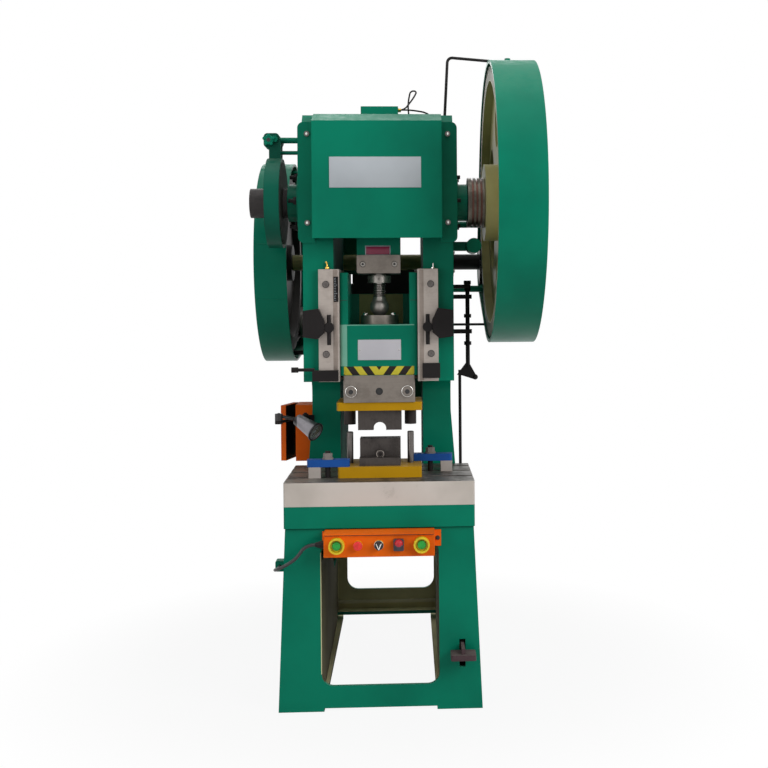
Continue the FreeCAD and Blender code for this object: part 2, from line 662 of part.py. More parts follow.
def slide():
    half = (-SLIDE_HALF, SLIDE_HALF)
    body = box(half, (SLIDE_FRONT, SLIDE_REAR), (SLIDE_LOW, CHEEK_TOP))
    room = box((-POCKET_HALF, POCKET_HALF), (SLIDE_FRONT - 1, SLIDE_REAR - BACK_WALL),
               (POCKET_FLOOR, CHEEK_TOP + 1))
    over_wall = box((-POCKET_HALF, POCKET_HALF), (SLIDE_REAR - BACK_WALL - 1, SLIDE_REAR + 1),
                    (BACK_WALL_TOP, CHEEK_TOP + 1))
    body = body.cut(room).cut(over_wall)
    body = round_edges(body, 10, Z_AXIS, lambda c: abs(abs(c.x) - SLIDE_HALF) < 1 and c.y < SLIDE_FRONT + 1)
    groove = way(SLIDE_HALF - WAY_DEPTH - SLIDE_GAP, (SLIDE_LOW - 1, CHEEK_TOP + 1))
    for cutter in both_sides(groove):
        body = body.cut(cutter)
    return body.removeSplitter()


def ball_seat():
    """Round cup flange on the slide's pocket floor, open to the rear."""
    ring = rod_z(0, CRANK_Y, (POCKET_FLOOR, SEAT_HIGH), SEAT_RADIUS)
    hole = rod_z(0, CRANK_Y, (POCKET_FLOOR - 1, SEAT_HIGH + 1), BALL_RADIUS + SEAT_GAP)
    mouth = box((-BALL_RADIUS - SEAT_GAP, BALL_RADIUS + SEAT_GAP), (CRANK_Y, CRANK_Y + SEAT_RADIUS + 1),
                (POCKET_FLOOR - 1, SEAT_HIGH + 1))
    return ring.cut(hole).cut(mouth)


def shank_block():
    block = box((-SHANK_HALF, SHANK_HALF), (SHANK_FRONT, SHANK_REAR), (UPPER_PLATE_TOP, SLIDE_LOW))
    block = round_edges(block, 4, Z_AXIS)
    return block.cut(rod_y(0, (SHANK_FRONT - 1, SHANK_FRONT + 20), SHANK_SCREW_Z, 11))


def shank_screws():
    screws = []
    for side in (-1, 1):
        x = side * SHANK_SCREW_X
        washer = rod_y(x, (SHANK_FRONT - 3, SHANK_FRONT), SHANK_SCREW_Z, 18)
        nut = hexagon(V(x, SHANK_FRONT - 13, SHANK_SCREW_Z), 19, 10, Y_AXIS)
        stud = rod_y(x, (SHANK_FRONT - 19, SHANK_FRONT - 3), SHANK_SCREW_Z, 6)
        screws.append(washer.fuse([nut, stud]))
    return screws


# --------------------------------------------------------------- crank train
def crankshaft():
    left = rod_x((CRANK_LEFT, -CHEEK_INNER - CHEEK_THICK), CRANK_Y, CRANK_Z, JOURNAL)
    shoulder = GEAR_HUB_LEFT - 12
    right = rod_x((CHEEK_INNER + CHEEK_THICK, shoulder), CRANK_Y, CRANK_Z, JOURNAL)
    seat = rod_x((shoulder, CRANK_RIGHT), CRANK_Y, CRANK_Z, GEAR_SEAT)
    pin = rod_x((-CHEEK_INNER, CHEEK_INNER), CRANK_Y, CRANK_Z + THROW, PIN_RADIUS)
    cheeks = [rod_x((side * CHEEK_INNER, side * (CHEEK_INNER + CHEEK_THICK)), CRANK_Y, CRANK_Z,
                    CHEEK_RADIUS) for side in (-1, 1)]
    return left.fuse([right, seat, pin] + cheeks).removeSplitter()


def bearing_flanges():
    """Bushes of the crank and of the drive shaft, with their flanges."""
    parts = []
    for side, flange_radius, reach in ((-1, 100.0, 50.0), (1, BEARING_RADIUS + 6,
                                                             CLUTCH_LEFT - SIDE_GAP - COLUMN_OUTER)):
        bush = rod_x((side * COLUMN_INNER, side * (COLUMN_OUTER + reach)), CRANK_Y, CRANK_Z, BEARING_RADIUS - 8)
        flange = rod_x((side * COLUMN_OUTER, side * (COLUMN_OUTER + 18)), CRANK_Y, CRANK_Z, flange_radius)
        bore = rod_x((side * (COLUMN_INNER - 1), side * (COLUMN_OUTER + reach + 1)), CRANK_Y, CRANK_Z,
                     JOURNAL + RUNNING_FIT)
        parts.append(bush.fuse(flange).cut(bore))
        bush = rod_x((side * COLUMN_INNER, side * (COLUMN_OUTER + 22)), DRIVE_Y, DRIVE_Z, DRIVE_RADIUS + 10)
        flange = rod_x((side * COLUMN_OUTER, side * (COLUMN_OUTER + 22)), DRIVE_Y, DRIVE_Z, DRIVE_RADIUS + 32)
        bore = rod_x((side * (COLUMN_INNER - 1), side * (COLUMN_OUTER + 23)), DRIVE_Y, DRIVE_Z,
                     DRIVE_RADIUS + RUNNING_FIT)
        parts.append(bush.fuse(flange).cut(bore))
    return parts


def clutch_hub():
    """Grooved clutch drum keyed on the crank between its bearing and the gear."""
    right = GEAR_HUB_LEFT - SIDE_GAP
    hub = rod_x((CLUTCH_LEFT, right), CRANK_Y, CRANK_Z, CLUTCH_RADIUS)
    for step in range(3):
        x = CLUTCH_LEFT + 12 + 13 * step
        groove = rod_x((x, x + 6), CRANK_Y, CRANK_Z, CLUTCH_RADIUS + 1)
        hub = hub.cut(groove.cut(rod_x((x - 1, x + 7), CRANK_Y, CRANK_Z, CLUTCH_RADIUS - 6)))
    return hub.cut(crankshaft())


def gear_teeth(teeth, phase, x, centre):
    """Spur gear blank with straight-flanked teeth, as one outline."""
    pitch = MODULE * teeth / 2
    tip, root = pitch + MODULE, pitch - 1.25 * MODULE
    step = 2 * math.pi / teeth
    lean = math.tan(math.radians(20)) * MODULE / pitch
    half = step / 4 - 0.006 * 20 / teeth
    points = []
    for tooth in range(teeth):
        middle = phase + tooth * step
        for radius, side in ((root, -half - 1.25 * lean), (tip, -half + lean),
                             (tip, half - lean), (root, half + 1.25 * lean)):
            angle = middle + side
            points.append(V(min(x), centre[0] + radius * math.cos(angle), centre[1] + radius * math.sin(angle)))
    return face_of(points).extrude(V(abs(x[1] - x[0]), 0, 0))


def mesh_phase():
    """Direction from the crank to the drive shaft, where a gear tooth meets a pinion gap."""
    return math.atan2(DRIVE_Z - CRANK_Z, DRIVE_Y - CRANK_Y)


def big_gear():
    x = (GEAR_LEFT, GEAR_LEFT + GEAR_WIDTH)
    gear = gear_teeth(GEAR_TEETH, mesh_phase(), x, (CRANK_Y, CRANK_Z))
    rim_inner = MODULE * GEAR_TEETH / 2 - GEAR_RIM
    for face, way_out in ((x[0], -1), (x[1], 1)):
        depth = (face + way_out, face - way_out * GEAR_DISH)
        dish = rod_x(depth, CRANK_Y, CRANK_Z, rim_inner)
        gear = gear.cut(dish.cut(rod_x(depth, CRANK_Y, CRANK_Z, GEAR_HUB)))
    gear = gear.fuse(rod_x((GEAR_HUB_LEFT, x[0] + GEAR_DISH), CRANK_Y, CRANK_Z, GEAR_HUB))
    for number in range(GEAR_HOLES):
        angle = 2 * math.pi * (number + 0.5) / GEAR_HOLES
        reach = (rim_inner + GEAR_HUB) / 2
        gear = gear.cut(rod_x((x[0] - 1, x[1] + 1), CRANK_Y + reach * math.cos(angle),
                              CRANK_Z + reach * math.sin(angle), GEAR_HOLE))
    return gear.cut(rod_x((GEAR_HUB_LEFT - 1, x[1] + 1), CRANK_Y, CRANK_Z, GEAR_SEAT + RUNNING_FIT))


def drive_shaft():
    """Back shaft with its pinion cut on it."""
    shaft = rod_x((FLYWHEEL_LEFT - 6, GEAR_LEFT + GEAR_WIDTH + 14), DRIVE_Y, DRIVE_Z, DRIVE_RADIUS)
    half_step = math.pi / PINION_TEETH
    pinion = gear_teeth(PINION_TEETH, mesh_phase() + math.pi + half_step,
                        (GEAR_LEFT - 4, GEAR_LEFT + GEAR_WIDTH + 4), (DRIVE_Y, DRIVE_Z))
    return shaft.fuse(pinion)


def groove_centres():
    middle = FLYWHEEL_LEFT + FLYWHEEL_WIDTH / 2
    return [middle + GROOVE_PITCH * (number - (GROOVES - 1) / 2) for number in range(GROOVES)]


def grooved(wheel, y, z, radius):
    """Cut a belt groove for each belt into a wheel on the X axis."""
    floor = radius - BELT_DEPTH - 3
    half = BELT_WIDTH / 2 + SLIDE_GAP
    for x in groove_centres():
        ring = rod_x((x - half, x + half), y, z, radius + 1)
        wheel = wheel.cut(ring.cut(rod_x((x - half - 1, x + half + 1), y, z, floor)))
    return wheel


def flywheel():
    x = (FLYWHEEL_LEFT, FLYWHEEL_LEFT + FLYWHEEL_WIDTH)
    wheel = rod_x(x, DRIVE_Y, DRIVE_Z, FLYWHEEL_RADIUS)
    for side, face in ((-1, x[0]), (1, x[1])):
        dish = rod_x((face + side, face - side * 26), DRIVE_Y, DRIVE_Z, FLYWHEEL_RADIUS - 42)
        wheel = wheel.cut(dish.cut(rod_x((face + side, face - side * 26), DRIVE_Y, DRIVE_Z, 62)))
    wheel = grooved(wheel, DRIVE_Y, DRIVE_Z, FLYWHEEL_RADIUS)
    return wheel.cut(rod_x((x[0] - 1, x[1] + 1), DRIVE_Y, DRIVE_Z, DRIVE_RADIUS))


def motor_pulley():
    x = (FLYWHEEL_LEFT, FLYWHEEL_LEFT + FLYWHEEL_WIDTH)
    wheel = grooved(rod_x(x, MOTOR_Y, MOTOR_Z, PULLEY_RADIUS), MOTOR_Y, MOTOR_Z, PULLEY_RADIUS)
    shaft = rod_x((FLYWHEEL_LEFT - 4, MOTOR_LEFT + 40), MOTOR_Y, MOTOR_Z, SHAFT_RADIUS)
    return wheel.fuse(shaft).removeSplitter()


def v_belts():
    belts = []
    for x in groove_centres():
        span = (x - BELT_WIDTH / 2, x + BELT_WIDTH / 2)
        drive, motor = (DRIVE_Y, DRIVE_Z), (MOTOR_Y, MOTOR_Z)
        lift = BELT_DEPTH + 3 - SLIDE_GAP
        outer = two_wheel_plate(span, drive, FLYWHEEL_RADIUS - lift + BELT_DEPTH,
                                motor, PULLEY_RADIUS - lift + BELT_DEPTH)
        inner = two_wheel_plate((span[0] - 1, span[1] + 1), drive, FLYWHEEL_RADIUS - lift,
                                motor, PULLEY_RADIUS - lift)
        belts.append(outer.cut(inner))
    return belts


def con_rod():
    """Big end on the crank pin, neck and clamp block; it stands upright in every position."""
    pin_z = CRANK_Z + THROW
    eye = rod_x((-ROD_HALF, ROD_HALF), CRANK_Y, pin_z, BIG_END)
    neck = box((-ROD_HALF, ROD_HALF), (CRANK_Y - BIG_END + 20, CRANK_Y + BIG_END - 20),
               (ROD_BLOCK_TOP - 10, pin_z))
    block = box((-ROD_BLOCK_HALF, ROD_BLOCK_HALF), (CRANK_Y - ROD_BLOCK_DEPTH, CRANK_Y + ROD_BLOCK_DEPTH),
                (CAP_LOW, ROD_BLOCK_TOP))
    front = box((-ROD_BLOCK_HALF - 1, ROD_BLOCK_HALF + 1), (CRANK_Y - ROD_BLOCK_DEPTH - 1, CRANK_Y + 1),
                (CAP_LOW - 1, CAP_HIGH))
    rod = eye.fuse([neck, block.cut(front)])
    rod = rod.cut(rod_x((-ROD_HALF - 1, ROD_HALF + 1), CRANK_Y, pin_z, PIN_RADIUS + RUNNING_FIT))
    return rod.cut(rod_z(0, CRANK_Y, (CAP_LOW - 1, ROD_BLOCK_TOP - 12), SCREW_RADIUS)).removeSplitter()


def rod_cap():
    cap = box((-ROD_BLOCK_HALF, ROD_BLOCK_HALF), (CRANK_Y - CAP_FRONT_DEPTH, CRANK_Y), (CAP_LOW, CAP_HIGH))
    cap = round_edges(cap, 4, Y_AXIS)
    cap = cap.cut(rod_z(0, CRANK_Y, (CAP_LOW - 1, CAP_HIGH + 1), SCREW_RADIUS))
    for side in (-1, 1):
        cap = cap.cut(rod_y(side * 48, (CRANK_Y - CAP_FRONT_DEPTH - 1, CRANK_Y - CAP_FRONT_DEPTH + 14),
                            (CAP_LOW + CAP_HIGH) / 2, 9))
    return cap


def ball_screw():
    """Height screw: thread, notched neck and ball end."""
    thread = rod_z(0, CRANK_Y, (NUT_HIGH, ROD_BLOCK_TOP - 14), SCREW_RADIUS)
    neck = rod_z(0, CRANK_Y, (BALL_Z, NUT_HIGH), NECK_RADIUS)
    for step in range(4):
        z = NUT_LOW - 8 - 9 * step
        ring = rod_z(0, CRANK_Y, (z - 4, z), NECK_RADIUS + 1).cut(rod_z(0, CRANK_Y, (z - 5, z + 1), NECK_RADIUS - 2))
        neck = neck.cut(ring)
    ball = Part.makeSphere(BALL_RADIUS, V(0, CRANK_Y, BALL_Z))
    cone = Part.makeCone(BALL_RADIUS - 5, NECK_RADIUS, 22, V(0, CRANK_Y, BALL_Z + 14), Z_AXIS)
    return thread.fuse([neck, ball, cone]).removeSplitter()


def capstan_nut():
    nut = rod_z(0, CRANK_Y, (NUT_LOW, NUT_HIGH), NUT_RADIUS)
    for number in range(6):
        angle = math.radians(60 * number + 30)
        way_in = V(math.cos(angle), math.sin(angle), 0)
        middle = V(0, CRANK_Y, (NUT_LOW + NUT_HIGH) / 2)
        nut = nut.cut(Part.makeCylinder(4, 14, middle + way_in * (NUT_RADIUS - 12), way_in))
    return nut.cut(rod_z(0, CRANK_Y, (NUT_LOW - 1, NUT_HIGH + 1), NECK_RADIUS))


# --------------------------------------------------------------------- brake


def brake_drum():
    x = (BRAKE_LEFT, BRAKE_LEFT + BRAKE_WIDTH)
    drum = rod_x(x, CRANK_Y, CRANK_Z, DRUM_RADIUS)
    dish = rod_x((x[0] - 1, x[0] + 18), CRANK_Y, CRANK_Z, DRUM_RADIUS - 14).cut(
        rod_x((x[0] - 1, x[0] + 18), CRANK_Y, CRANK_Z, JOURNAL + 22))
    return drum.cut(dish).cut(rod_x((x[0] - 1, x[1] + 1), CRANK_Y, CRANK_Z, JOURNAL))


def brake_band():
    x = (BRAKE_LEFT + 2, BRAKE_LEFT + BRAKE_WIDTH - 2)
    inner = DRUM_RADIUS + SLIDE_GAP
    ring = rod_x(x, CRANK_Y, CRANK_Z, inner + BAND_THICK)
    band = ring
    for side in (-1, 1):
        y = (CRANK_Y + side * LUG_GAP, CRANK_Y + side * (LUG_GAP + LUG_THICK))
        strap = box((x[0] + 4, x[1] - 4), y, (CRANK_Z + inner, LUG_TOP - LUG_HEAD / 2))
        head = box((x[0] - 12, x[1] - 8), y, (LUG_TOP - LUG_HEAD, LUG_TOP))
        band = band.fuse([strap, round_edges(head, 12, Y_AXIS)])
    band = band.cut(rod_x((x[0] - 1, x[1] + 1), CRANK_Y, CRANK_Z, inner))
    band = band.cut(box((x[0] - 1, x[1] + 1), (CRANK_Y - LUG_GAP, CRANK_Y + LUG_GAP), (CRANK_Z, LUG_TOP)))
    middle = (x[0] + x[1]) / 2
    hole = rod_y(middle, (CRANK_Y - 60, CRANK_Y + 60), LUG_BOLT_Z, 6 + BOLT_GAP)
    return band.cut(hole)


def brake_anchor():
    """Tension bolt through the band's lugs and the anchor rod that holds it to the frame."""
    middle = BRAKE_LEFT + BRAKE_WIDTH / 2
    far = LUG_GAP + LUG_THICK
    bolt = rod_y(middle, (CRANK_Y - far - 12, CRANK_Y + far + 60), LUG_BOLT_Z, 6)
    head = hexagon(V(middle, CRANK_Y - far - 12, LUG_BOLT_Z), 19, 11.5, Y_AXIS)
    spring = rod_y(middle, (CRANK_Y + far + 0.5, CRANK_Y + far + 44), LUG_BOLT_Z, 13)
    nut = hexagon(V(middle, CRANK_Y + far + 44, LUG_BOLT_Z), 19, 10, Y_AXIS)
    anchor = rod_x((middle, -COLUMN_OUTER), CRANK_Y, LUG_BOLT_Z, 9)
    sleeve = rod_y(middle, (CRANK_Y - LUG_GAP + 1, CRANK_Y + LUG_GAP - 1), LUG_BOLT_Z, 12)
    stay = rod_x((middle, -COLUMN_OUTER), CRANK_Y, STAY_Z, 6)
    grip = box((middle - 12, middle + 12), (CRANK_Y - LUG_GAP + SLIDE_GAP, CRANK_Y + LUG_GAP - SLIDE_GAP),
               (STAY_Z - 9, STAY_Z + 9))
    return [bolt.fuse([head, spring, nut, anchor, sleeve]).removeSplitter(), stay.fuse(grip)]


# -------------------------------------------------------------------- guards
def guard(x, outer_x, wheel, wheel_radius, second, nose_radius, lip):
    """Sheet drum round two wheels, closed on its outer side."""
    shell = two_wheel_plate(x, wheel, wheel_radius, second, nose_radius)
    left, right = min(x), max(x)
    room = (left + SHEET, right + 1) if outer_x == left else (left - 1, right - SHEET)
    shell = shell.cut(two_wheel_plate(room, wheel, wheel_radius - SHEET, second, nose_radius - SHEET))
    open_x = right if outer_x == left else left
    rim = (open_x - SHEET, open_x) if open_x == right else (open_x, open_x + SHEET)
    ring = two_wheel_plate(rim, wheel, wheel_radius, second, nose_radius)
    wide = (rim[0] - 1, rim[1] + 1)
    ring = ring.cut(two_wheel_plate(wide, wheel, wheel_radius - lip, second, nose_radius - lip))
    return shell.fuse(ring)


def gear_guard():
    return guard((GEAR_GUARD_LEFT, GEAR_GUARD_RIGHT), GEAR_GUARD_RIGHT, (CRANK_Y, CRANK_Z), GEAR_GUARD_RADIUS,
                 (DRIVE_Y, DRIVE_Z), GEAR_GUARD_NOSE, GUARD_LIP)


def belt_guard():
    return guard((BELT_GUARD_LEFT, BELT_GUARD_RIGHT), BELT_GUARD_LEFT, (DRIVE_Y, DRIVE_Z), BELT_GUARD_RADIUS,
                 (MOTOR_Y, MOTOR_Z), BELT_GUARD_NOSE, BELT_GUARD_LIP)


def guard_bracket():
    """Tubes that carry the two guards off the uprights, and the bent rod over the gear guard."""
    parts = []
    away = V(0, DRIVE_Y - CRANK_Y, DRIVE_Z - CRANK_Z).normalize()
    across = V(0, -away.z, away.y)
    for side in (-1, 1):
        spot = V(0, CRANK_Y, CRANK_Z) + away * (CENTRES - 50) + across * (side * 120)
        parts.append(rod_x((COLUMN_OUTER, GEAR_GUARD_RIGHT - SHEET), spot.y, spot.z, STANDOFF_RADIUS + 3))
        z = DRIVE_Z + side * (FLYWHEEL_RADIUS + 4 + STANDOFF_RADIUS)
        root = COLUMN_OUTER if side > 0 else COLUMN_INNER + WEB
        parts.append(rod_x((-root, BELT_GUARD_LEFT + SHEET), DRIVE_Y, z, STANDOFF_RADIUS))
    lip = GEAR_GUARD_RADIUS - GUARD_LIP / 2
    low = CRANK_Z - math.sqrt(lip ** 2 - (LOWER_STAY_Y - CRANK_Y) ** 2)
    parts.append(rod_x((COLUMN_OUTER, GEAR_GUARD_LEFT), LOWER_STAY_Y, low, 4))
    x, y, top = COLUMN_OUTER - 19, CRANK_Y + 40, CRANK_Z + GEAR_GUARD_RADIUS + 10
    end = V((GEAR_GUARD_LEFT + GEAR_GUARD_RIGHT) / 2, y, top)
    bar = bent_tube([V(x, y, HEAD_TOP - 1), V(x + 11, y, top + 16), end], 4.5, 16)
    bar = bar.cut(box((x - 20, x + 20), (y - 20, y + 20), (HEAD_TOP - 10, HEAD_TOP)))
    seat = CRANK_Z + math.sqrt(GEAR_GUARD_RADIUS ** 2 - (y - 16 - CRANK_Y) ** 2) + SLIDE_GAP
    strap = box((GEAR_GUARD_LEFT + 6, GEAR_GUARD_RIGHT - 14), (y - 16, y + 16), (seat, top + 3))
    bolt = hexagon(V(end.x, y, top + 3), 16, 10, Z_AXIS)
    parts.append(bar.fuse([strap, bolt]))
    stop = rod_y(TRIP_STOP_X, (CRANK_Y - 30, CRANK_Y + 60), TRIP_STOP_Z, TRIP_STOP_RADIUS)
    arm = box((COLUMN_OUTER, TRIP_STOP_X), (CRANK_Y + 20, CRANK_Y + 44), (TRIP_STOP_Z - 14, TRIP_STOP_Z + 14))
    parts.append(stop.fuse(arm))
    return parts


# --------------------------------------------------------------------- motor
def motor():
    """Finned motor with foot, end shields and terminal box."""
    body = rod_x((MOTOR_LEFT + 30, MOTOR_RIGHT - 40), MOTOR_Y, MOTOR_Z, MOTOR_RADIUS - 12)
    shields = [rod_x((MOTOR_LEFT, MOTOR_LEFT + 34), MOTOR_Y, MOTOR_Z, MOTOR_RADIUS),
               rod_x((MOTOR_RIGHT - 60, MOTOR_RIGHT), MOTOR_Y, MOTOR_Z, MOTOR_RADIUS)]
    fins = []
    for number in range(14):
        angle = 360 * number / 14
        fin = box((MOTOR_LEFT + 34, MOTOR_RIGHT - 60), (MOTOR_Y - 3, MOTOR_Y + 3),
                  (MOTOR_Z + MOTOR_RADIUS - 20, MOTOR_Z + MOTOR_RADIUS))
        fin.rotate(V(0, MOTOR_Y, MOTOR_Z), X_AXIS, angle)
        fins.append(fin)
    foot = box((MOTOR_LEFT + 40, MOTOR_RIGHT - 70), (FRAME_REAR + 16, MOTOR_Y - MOTOR_RADIUS + 20),
               (MOTOR_Z - 80, MOTOR_Z + 80))
    terminal = box((MOTOR_LEFT + 90, MOTOR_RIGHT - 100), (MOTOR_Y - 45, MOTOR_Y + 45),
                   (MOTOR_Z + MOTOR_RADIUS - 15, MOTOR_Z + MOTOR_RADIUS + 45))
    housing = body.fuse(shields + fins + [foot, terminal])
    return housing.cut(rod_x((MOTOR_LEFT - 1, MOTOR_LEFT + 41), MOTOR_Y, MOTOR_Z, SHAFT_RADIUS + RUNNING_FIT))


def motor_plate():
    plate = box((-COLUMN_OUTER + 10, COLUMN_OUTER - 10), (FRAME_REAR, FRAME_REAR + 16),
                (MOTOR_Z - 110, DRIVE_Z - 127))
    shelf = box((-COLUMN_INNER + 20, COLUMN_INNER - 20), (FRAME_REAR - 20, FRAME_REAR + 16),
                (DRIVE_Z - 127, DRIVE_Z - 20))
    return plate.fuse(shelf).removeSplitter()


# ----------------------------------------------------------- head and covers


def front_cover():
    """Folded sheet cover: side flanges on the head, box in front, sloping top, open below."""
    t = COVER_SHEET

    def side(inset, low):
        return [(COVER_FRONT + inset, low), (COVER_FRONT + inset, COVER_HIGH - inset),
                (HEAD_FRONT, HEAD_TOP - inset), (HEAD_FRONT, low)]

    shell = prism_x(side(0, COVER_LOW), (-COVER_HALF, COVER_HALF))
    plate = box((-COVER_FLANGE, COVER_FLANGE), (HEAD_FRONT - t, HEAD_FRONT), (COVER_LOW - 10, HEAD_TOP - HEAD_BEVEL))
    plate = round_edges(plate, COVER_CORNER, Y_AXIS)
    inside = prism_x(side(t, COVER_LOW - 11), (-COVER_HALF + t, COVER_HALF - t))
    return plate.fuse(shell).cut(inside).removeSplitter()


def cover_screws():
    screws = []
    for side in (-1, 1):
        for z in (COVER_LOW + 50, COVER_HIGH - 28):
            x = side * (COVER_HALF + 20)
            head = rod_y(x, (HEAD_FRONT - COVER_SHEET - 5, HEAD_FRONT - COVER_SHEET), z, 8)
            screws.append(head.cut(hexagon(V(x, HEAD_FRONT - COVER_SHEET - 6, z), 8, 4, Y_AXIS)))
    return screws


def bent_tube(points, radius, corner_reach=math.inf):
    """Tube through points, each corner rounded."""
    edges = []
    start = points[0]
    for before, corner, after in zip(points, points[1:], points[2:]):
        back, on = (before - corner), (after - corner)
        half_turn = (math.pi - back.getAngle(on)) / 2
        reach = min(corner_reach, 0.45 * min(back.Length, on.Length))
        bend = reach / math.tan(half_turn)
        back.normalize()
        on.normalize()
        enter, leave = corner + back * reach, corner + on * reach
        inward = (back + on).normalize()
        middle = corner + inward * (math.hypot(bend, reach) - bend)
        edges += [Part.makeLine(start, enter), Part.Arc(enter, middle, leave).toShape()]
        start = leave
    edges.append(Part.makeLine(start, points[-1]))
    wire = Part.Wire(edges)
    ring = Part.Wire(Part.makeCircle(radius, points[0], points[1] - points[0]))
    return wire.makePipeShell([ring], True, True)


def lubricator():
    """Oil distributor on the head's top with its feed tubes."""
    y, high = HEAD_FRONT + 90, 35.0
    block = box((-52, 62), (y - 22, y + 22), (HEAD_TOP, HEAD_TOP + high))
    block = round_edges(block, 4, Z_AXIS)
    start = HEAD_TOP + high - 10
    loop = bent_tube([V(62, y, start), V(84, y, start + 6), V(110, y + 6, HEAD_TOP + 66),
                      V(121, y + 14, HEAD_TOP + 88), V(100, y + 22, HEAD_TOP + 90),
                      V(92, y + 27, HEAD_TOP + 50), V(96, y + 27, HEAD_TOP)], 2.5)
    feed = bent_tube([V(62, y - 14, start), V(100, y - 14, start), V(140, y - 13, start - 6),
                      V(156, y - 12, HEAD_TOP + 12), V(156, y - 12, HEAD_TOP)], 2.5)
    return [block, loop, feed]


def stroke_scale():
    return box((-COLUMN_INNER + 1, -SLIDE_HALF - 3), (HEAD_FRONT - GIB_THICK - 2, HEAD_FRONT - GIB_THICK),
               (SLIDE_LOW + 221, SLIDE_LOW + 296))


def knockout_brackets():
    """Stops of the knock-out bar beside the slide, with their screws, and the lower gib blocks."""
    front, low = HEAD_FRONT - GIB_THICK, SLIDE_LOW + 111
    parts = []
    for side in (-1, 1):
        arm = prism_y([(side * 222, low + 6), (side * 222, low + 84), (side * 176, low + 90), (side * 160, low + 56),
                       (side * 160, low + 18), (side * 180, low)], (front - 34, front))
        knob = rod_y(side * 146, (front - 30, front - 4), low + 34, 15)
        screw = rod_x((side * 146, side * 200), front - 17, low + 34, 7)
        back = box((side * 186, side * 222), (front, HEAD_FRONT), (low + 10, low + 76))
        hanger = rod_z(side * 146, front - 17, (low - 18, low + 72), 6)
        parts.append(arm.fuse([knob, screw, back, hanger]))
    block = box((-196, -SLIDE_HALF - 4), (front - 22, front), (GIB_LOW + 3, GIB_LOW + 35))
    lever = rod_x((-254, -190), front - 12, GIB_LOW + 37, 5)
    grip = rod_x((-258, -238), front - 12, GIB_LOW + 37, 8)
    parts.append(block.fuse([lever, grip]))
    parts.append(box((SLIDE_HALF + 14, GIB_OUTER + 4), (front - 22, front), (GIB_LOW + 10, GIB_LOW + 54)))
    return parts


# ---------------------------------------------------------------- table tools
def lower_die_plate():
    plate = box((-DIE_HALF, DIE_HALF), (DIE_Y - DIE_DEPTH / 2, DIE_Y + DIE_DEPTH / 2),
                (BOLSTER_TOP, LOWER_PLATE_TOP))
    plate = round_edges(plate, 8, Z_AXIS)
    for side in (-1, 1):
        plate = plate.cut(rod_z(side * POST_X, DIE_Y, (BOLSTER_TOP - 1, LOWER_PLATE_TOP + 1), POST_RADIUS))
    return plate


def guide_posts():
    posts = []
    for side in (-1, 1):
        post = rod_z(side * POST_X, DIE_Y, (BOLSTER_TOP, POST_TOP), POST_RADIUS)
        posts.append(post.makeChamfer(2, [edge for edge in post.Edges if edge.CenterOfMass.z > POST_TOP - 1]))
    return posts


def lower_die():
    foot = box((-BLOCK_HALF, BLOCK_HALF), (DIE_Y - 71, DIE_Y + 49), (LOWER_PLATE_TOP, FOOT_TOP))
    block = box((-BLOCK_HALF, BLOCK_HALF), (BLOCK_FRONT, BLOCK_REAR), (FOOT_TOP - 1, BLOCK_TOP))
    boss = rod_y(0, (BLOCK_FRONT - 24, BLOCK_FRONT), BOSS_Z, BOSS_RADIUS)
    bore = rod_y(0, (BLOCK_FRONT - 25, BLOCK_FRONT - 14), BOSS_Z, 6)
    return foot.fuse([block, boss]).cut(bore).removeSplitter()


def upper_die_plate():
    plate = box((-UPPER_PLATE_HALF, UPPER_PLATE_HALF), (DIE_Y - DIE_DEPTH / 2, DIE_Y + DIE_DEPTH / 2),
                (UPPER_PLATE_LOW, UPPER_PLATE_TOP))
    plate = round_edges(plate, 8, Z_AXIS)
    for side in (-1, 1):
        plate = plate.fuse(rod_z(side * POST_X, DIE_Y, (BUSHING_LOW, UPPER_PLATE_LOW), BUSHING_RADIUS))
    for side in (-1, 1):
        plate = plate.cut(rod_z(side * POST_X, DIE_Y, (BUSHING_LOW - 1, UPPER_PLATE_TOP + 1),
                                POST_RADIUS + RUNNING_FIT))
    return plate


def upper_die():
    """Blade in front of the lower block, its notch passing over the block's boss."""
    y = (BLADE_FRONT, BLADE_FRONT + BLADE_THICK)
    blade = box((-BLADE_HALF, BLADE_HALF), y, (BLADE_LOW, UPPER_PLATE_LOW))
    slot = box((-NOTCH_HALF, NOTCH_HALF), (y[0] - 1, y[1] + 1), (BLADE_LOW - 1, NOTCH_TOP - NOTCH_HALF))
    arch = rod_y(0, (y[0] - 1, y[1] + 1), NOTCH_TOP - NOTCH_HALF, NOTCH_HALF)
    return blade.cut(slot.fuse(arch))


def clamp_bars():
    bars = []
    for y, outer, inner, stud_x, riser_x in CLAMPS:
        bar = box((outer, inner), (y - CLAMP_WIDTH / 2, y + CLAMP_WIDTH / 2), (CLAMP_LOW, CLAMP_LOW + CLAMP_THICK))
        bar = round_edges(bar, 10, Z_AXIS)
        slot = box((stud_x - 22, stud_x + 22), (y - STUD_RADIUS - 1, y + STUD_RADIUS + 1),
                   (CLAMP_LOW - 1, CLAMP_LOW + CLAMP_THICK + 1))
        bars.append(bar.cut(round_edges(slot, STUD_RADIUS, Z_AXIS)))
    return bars


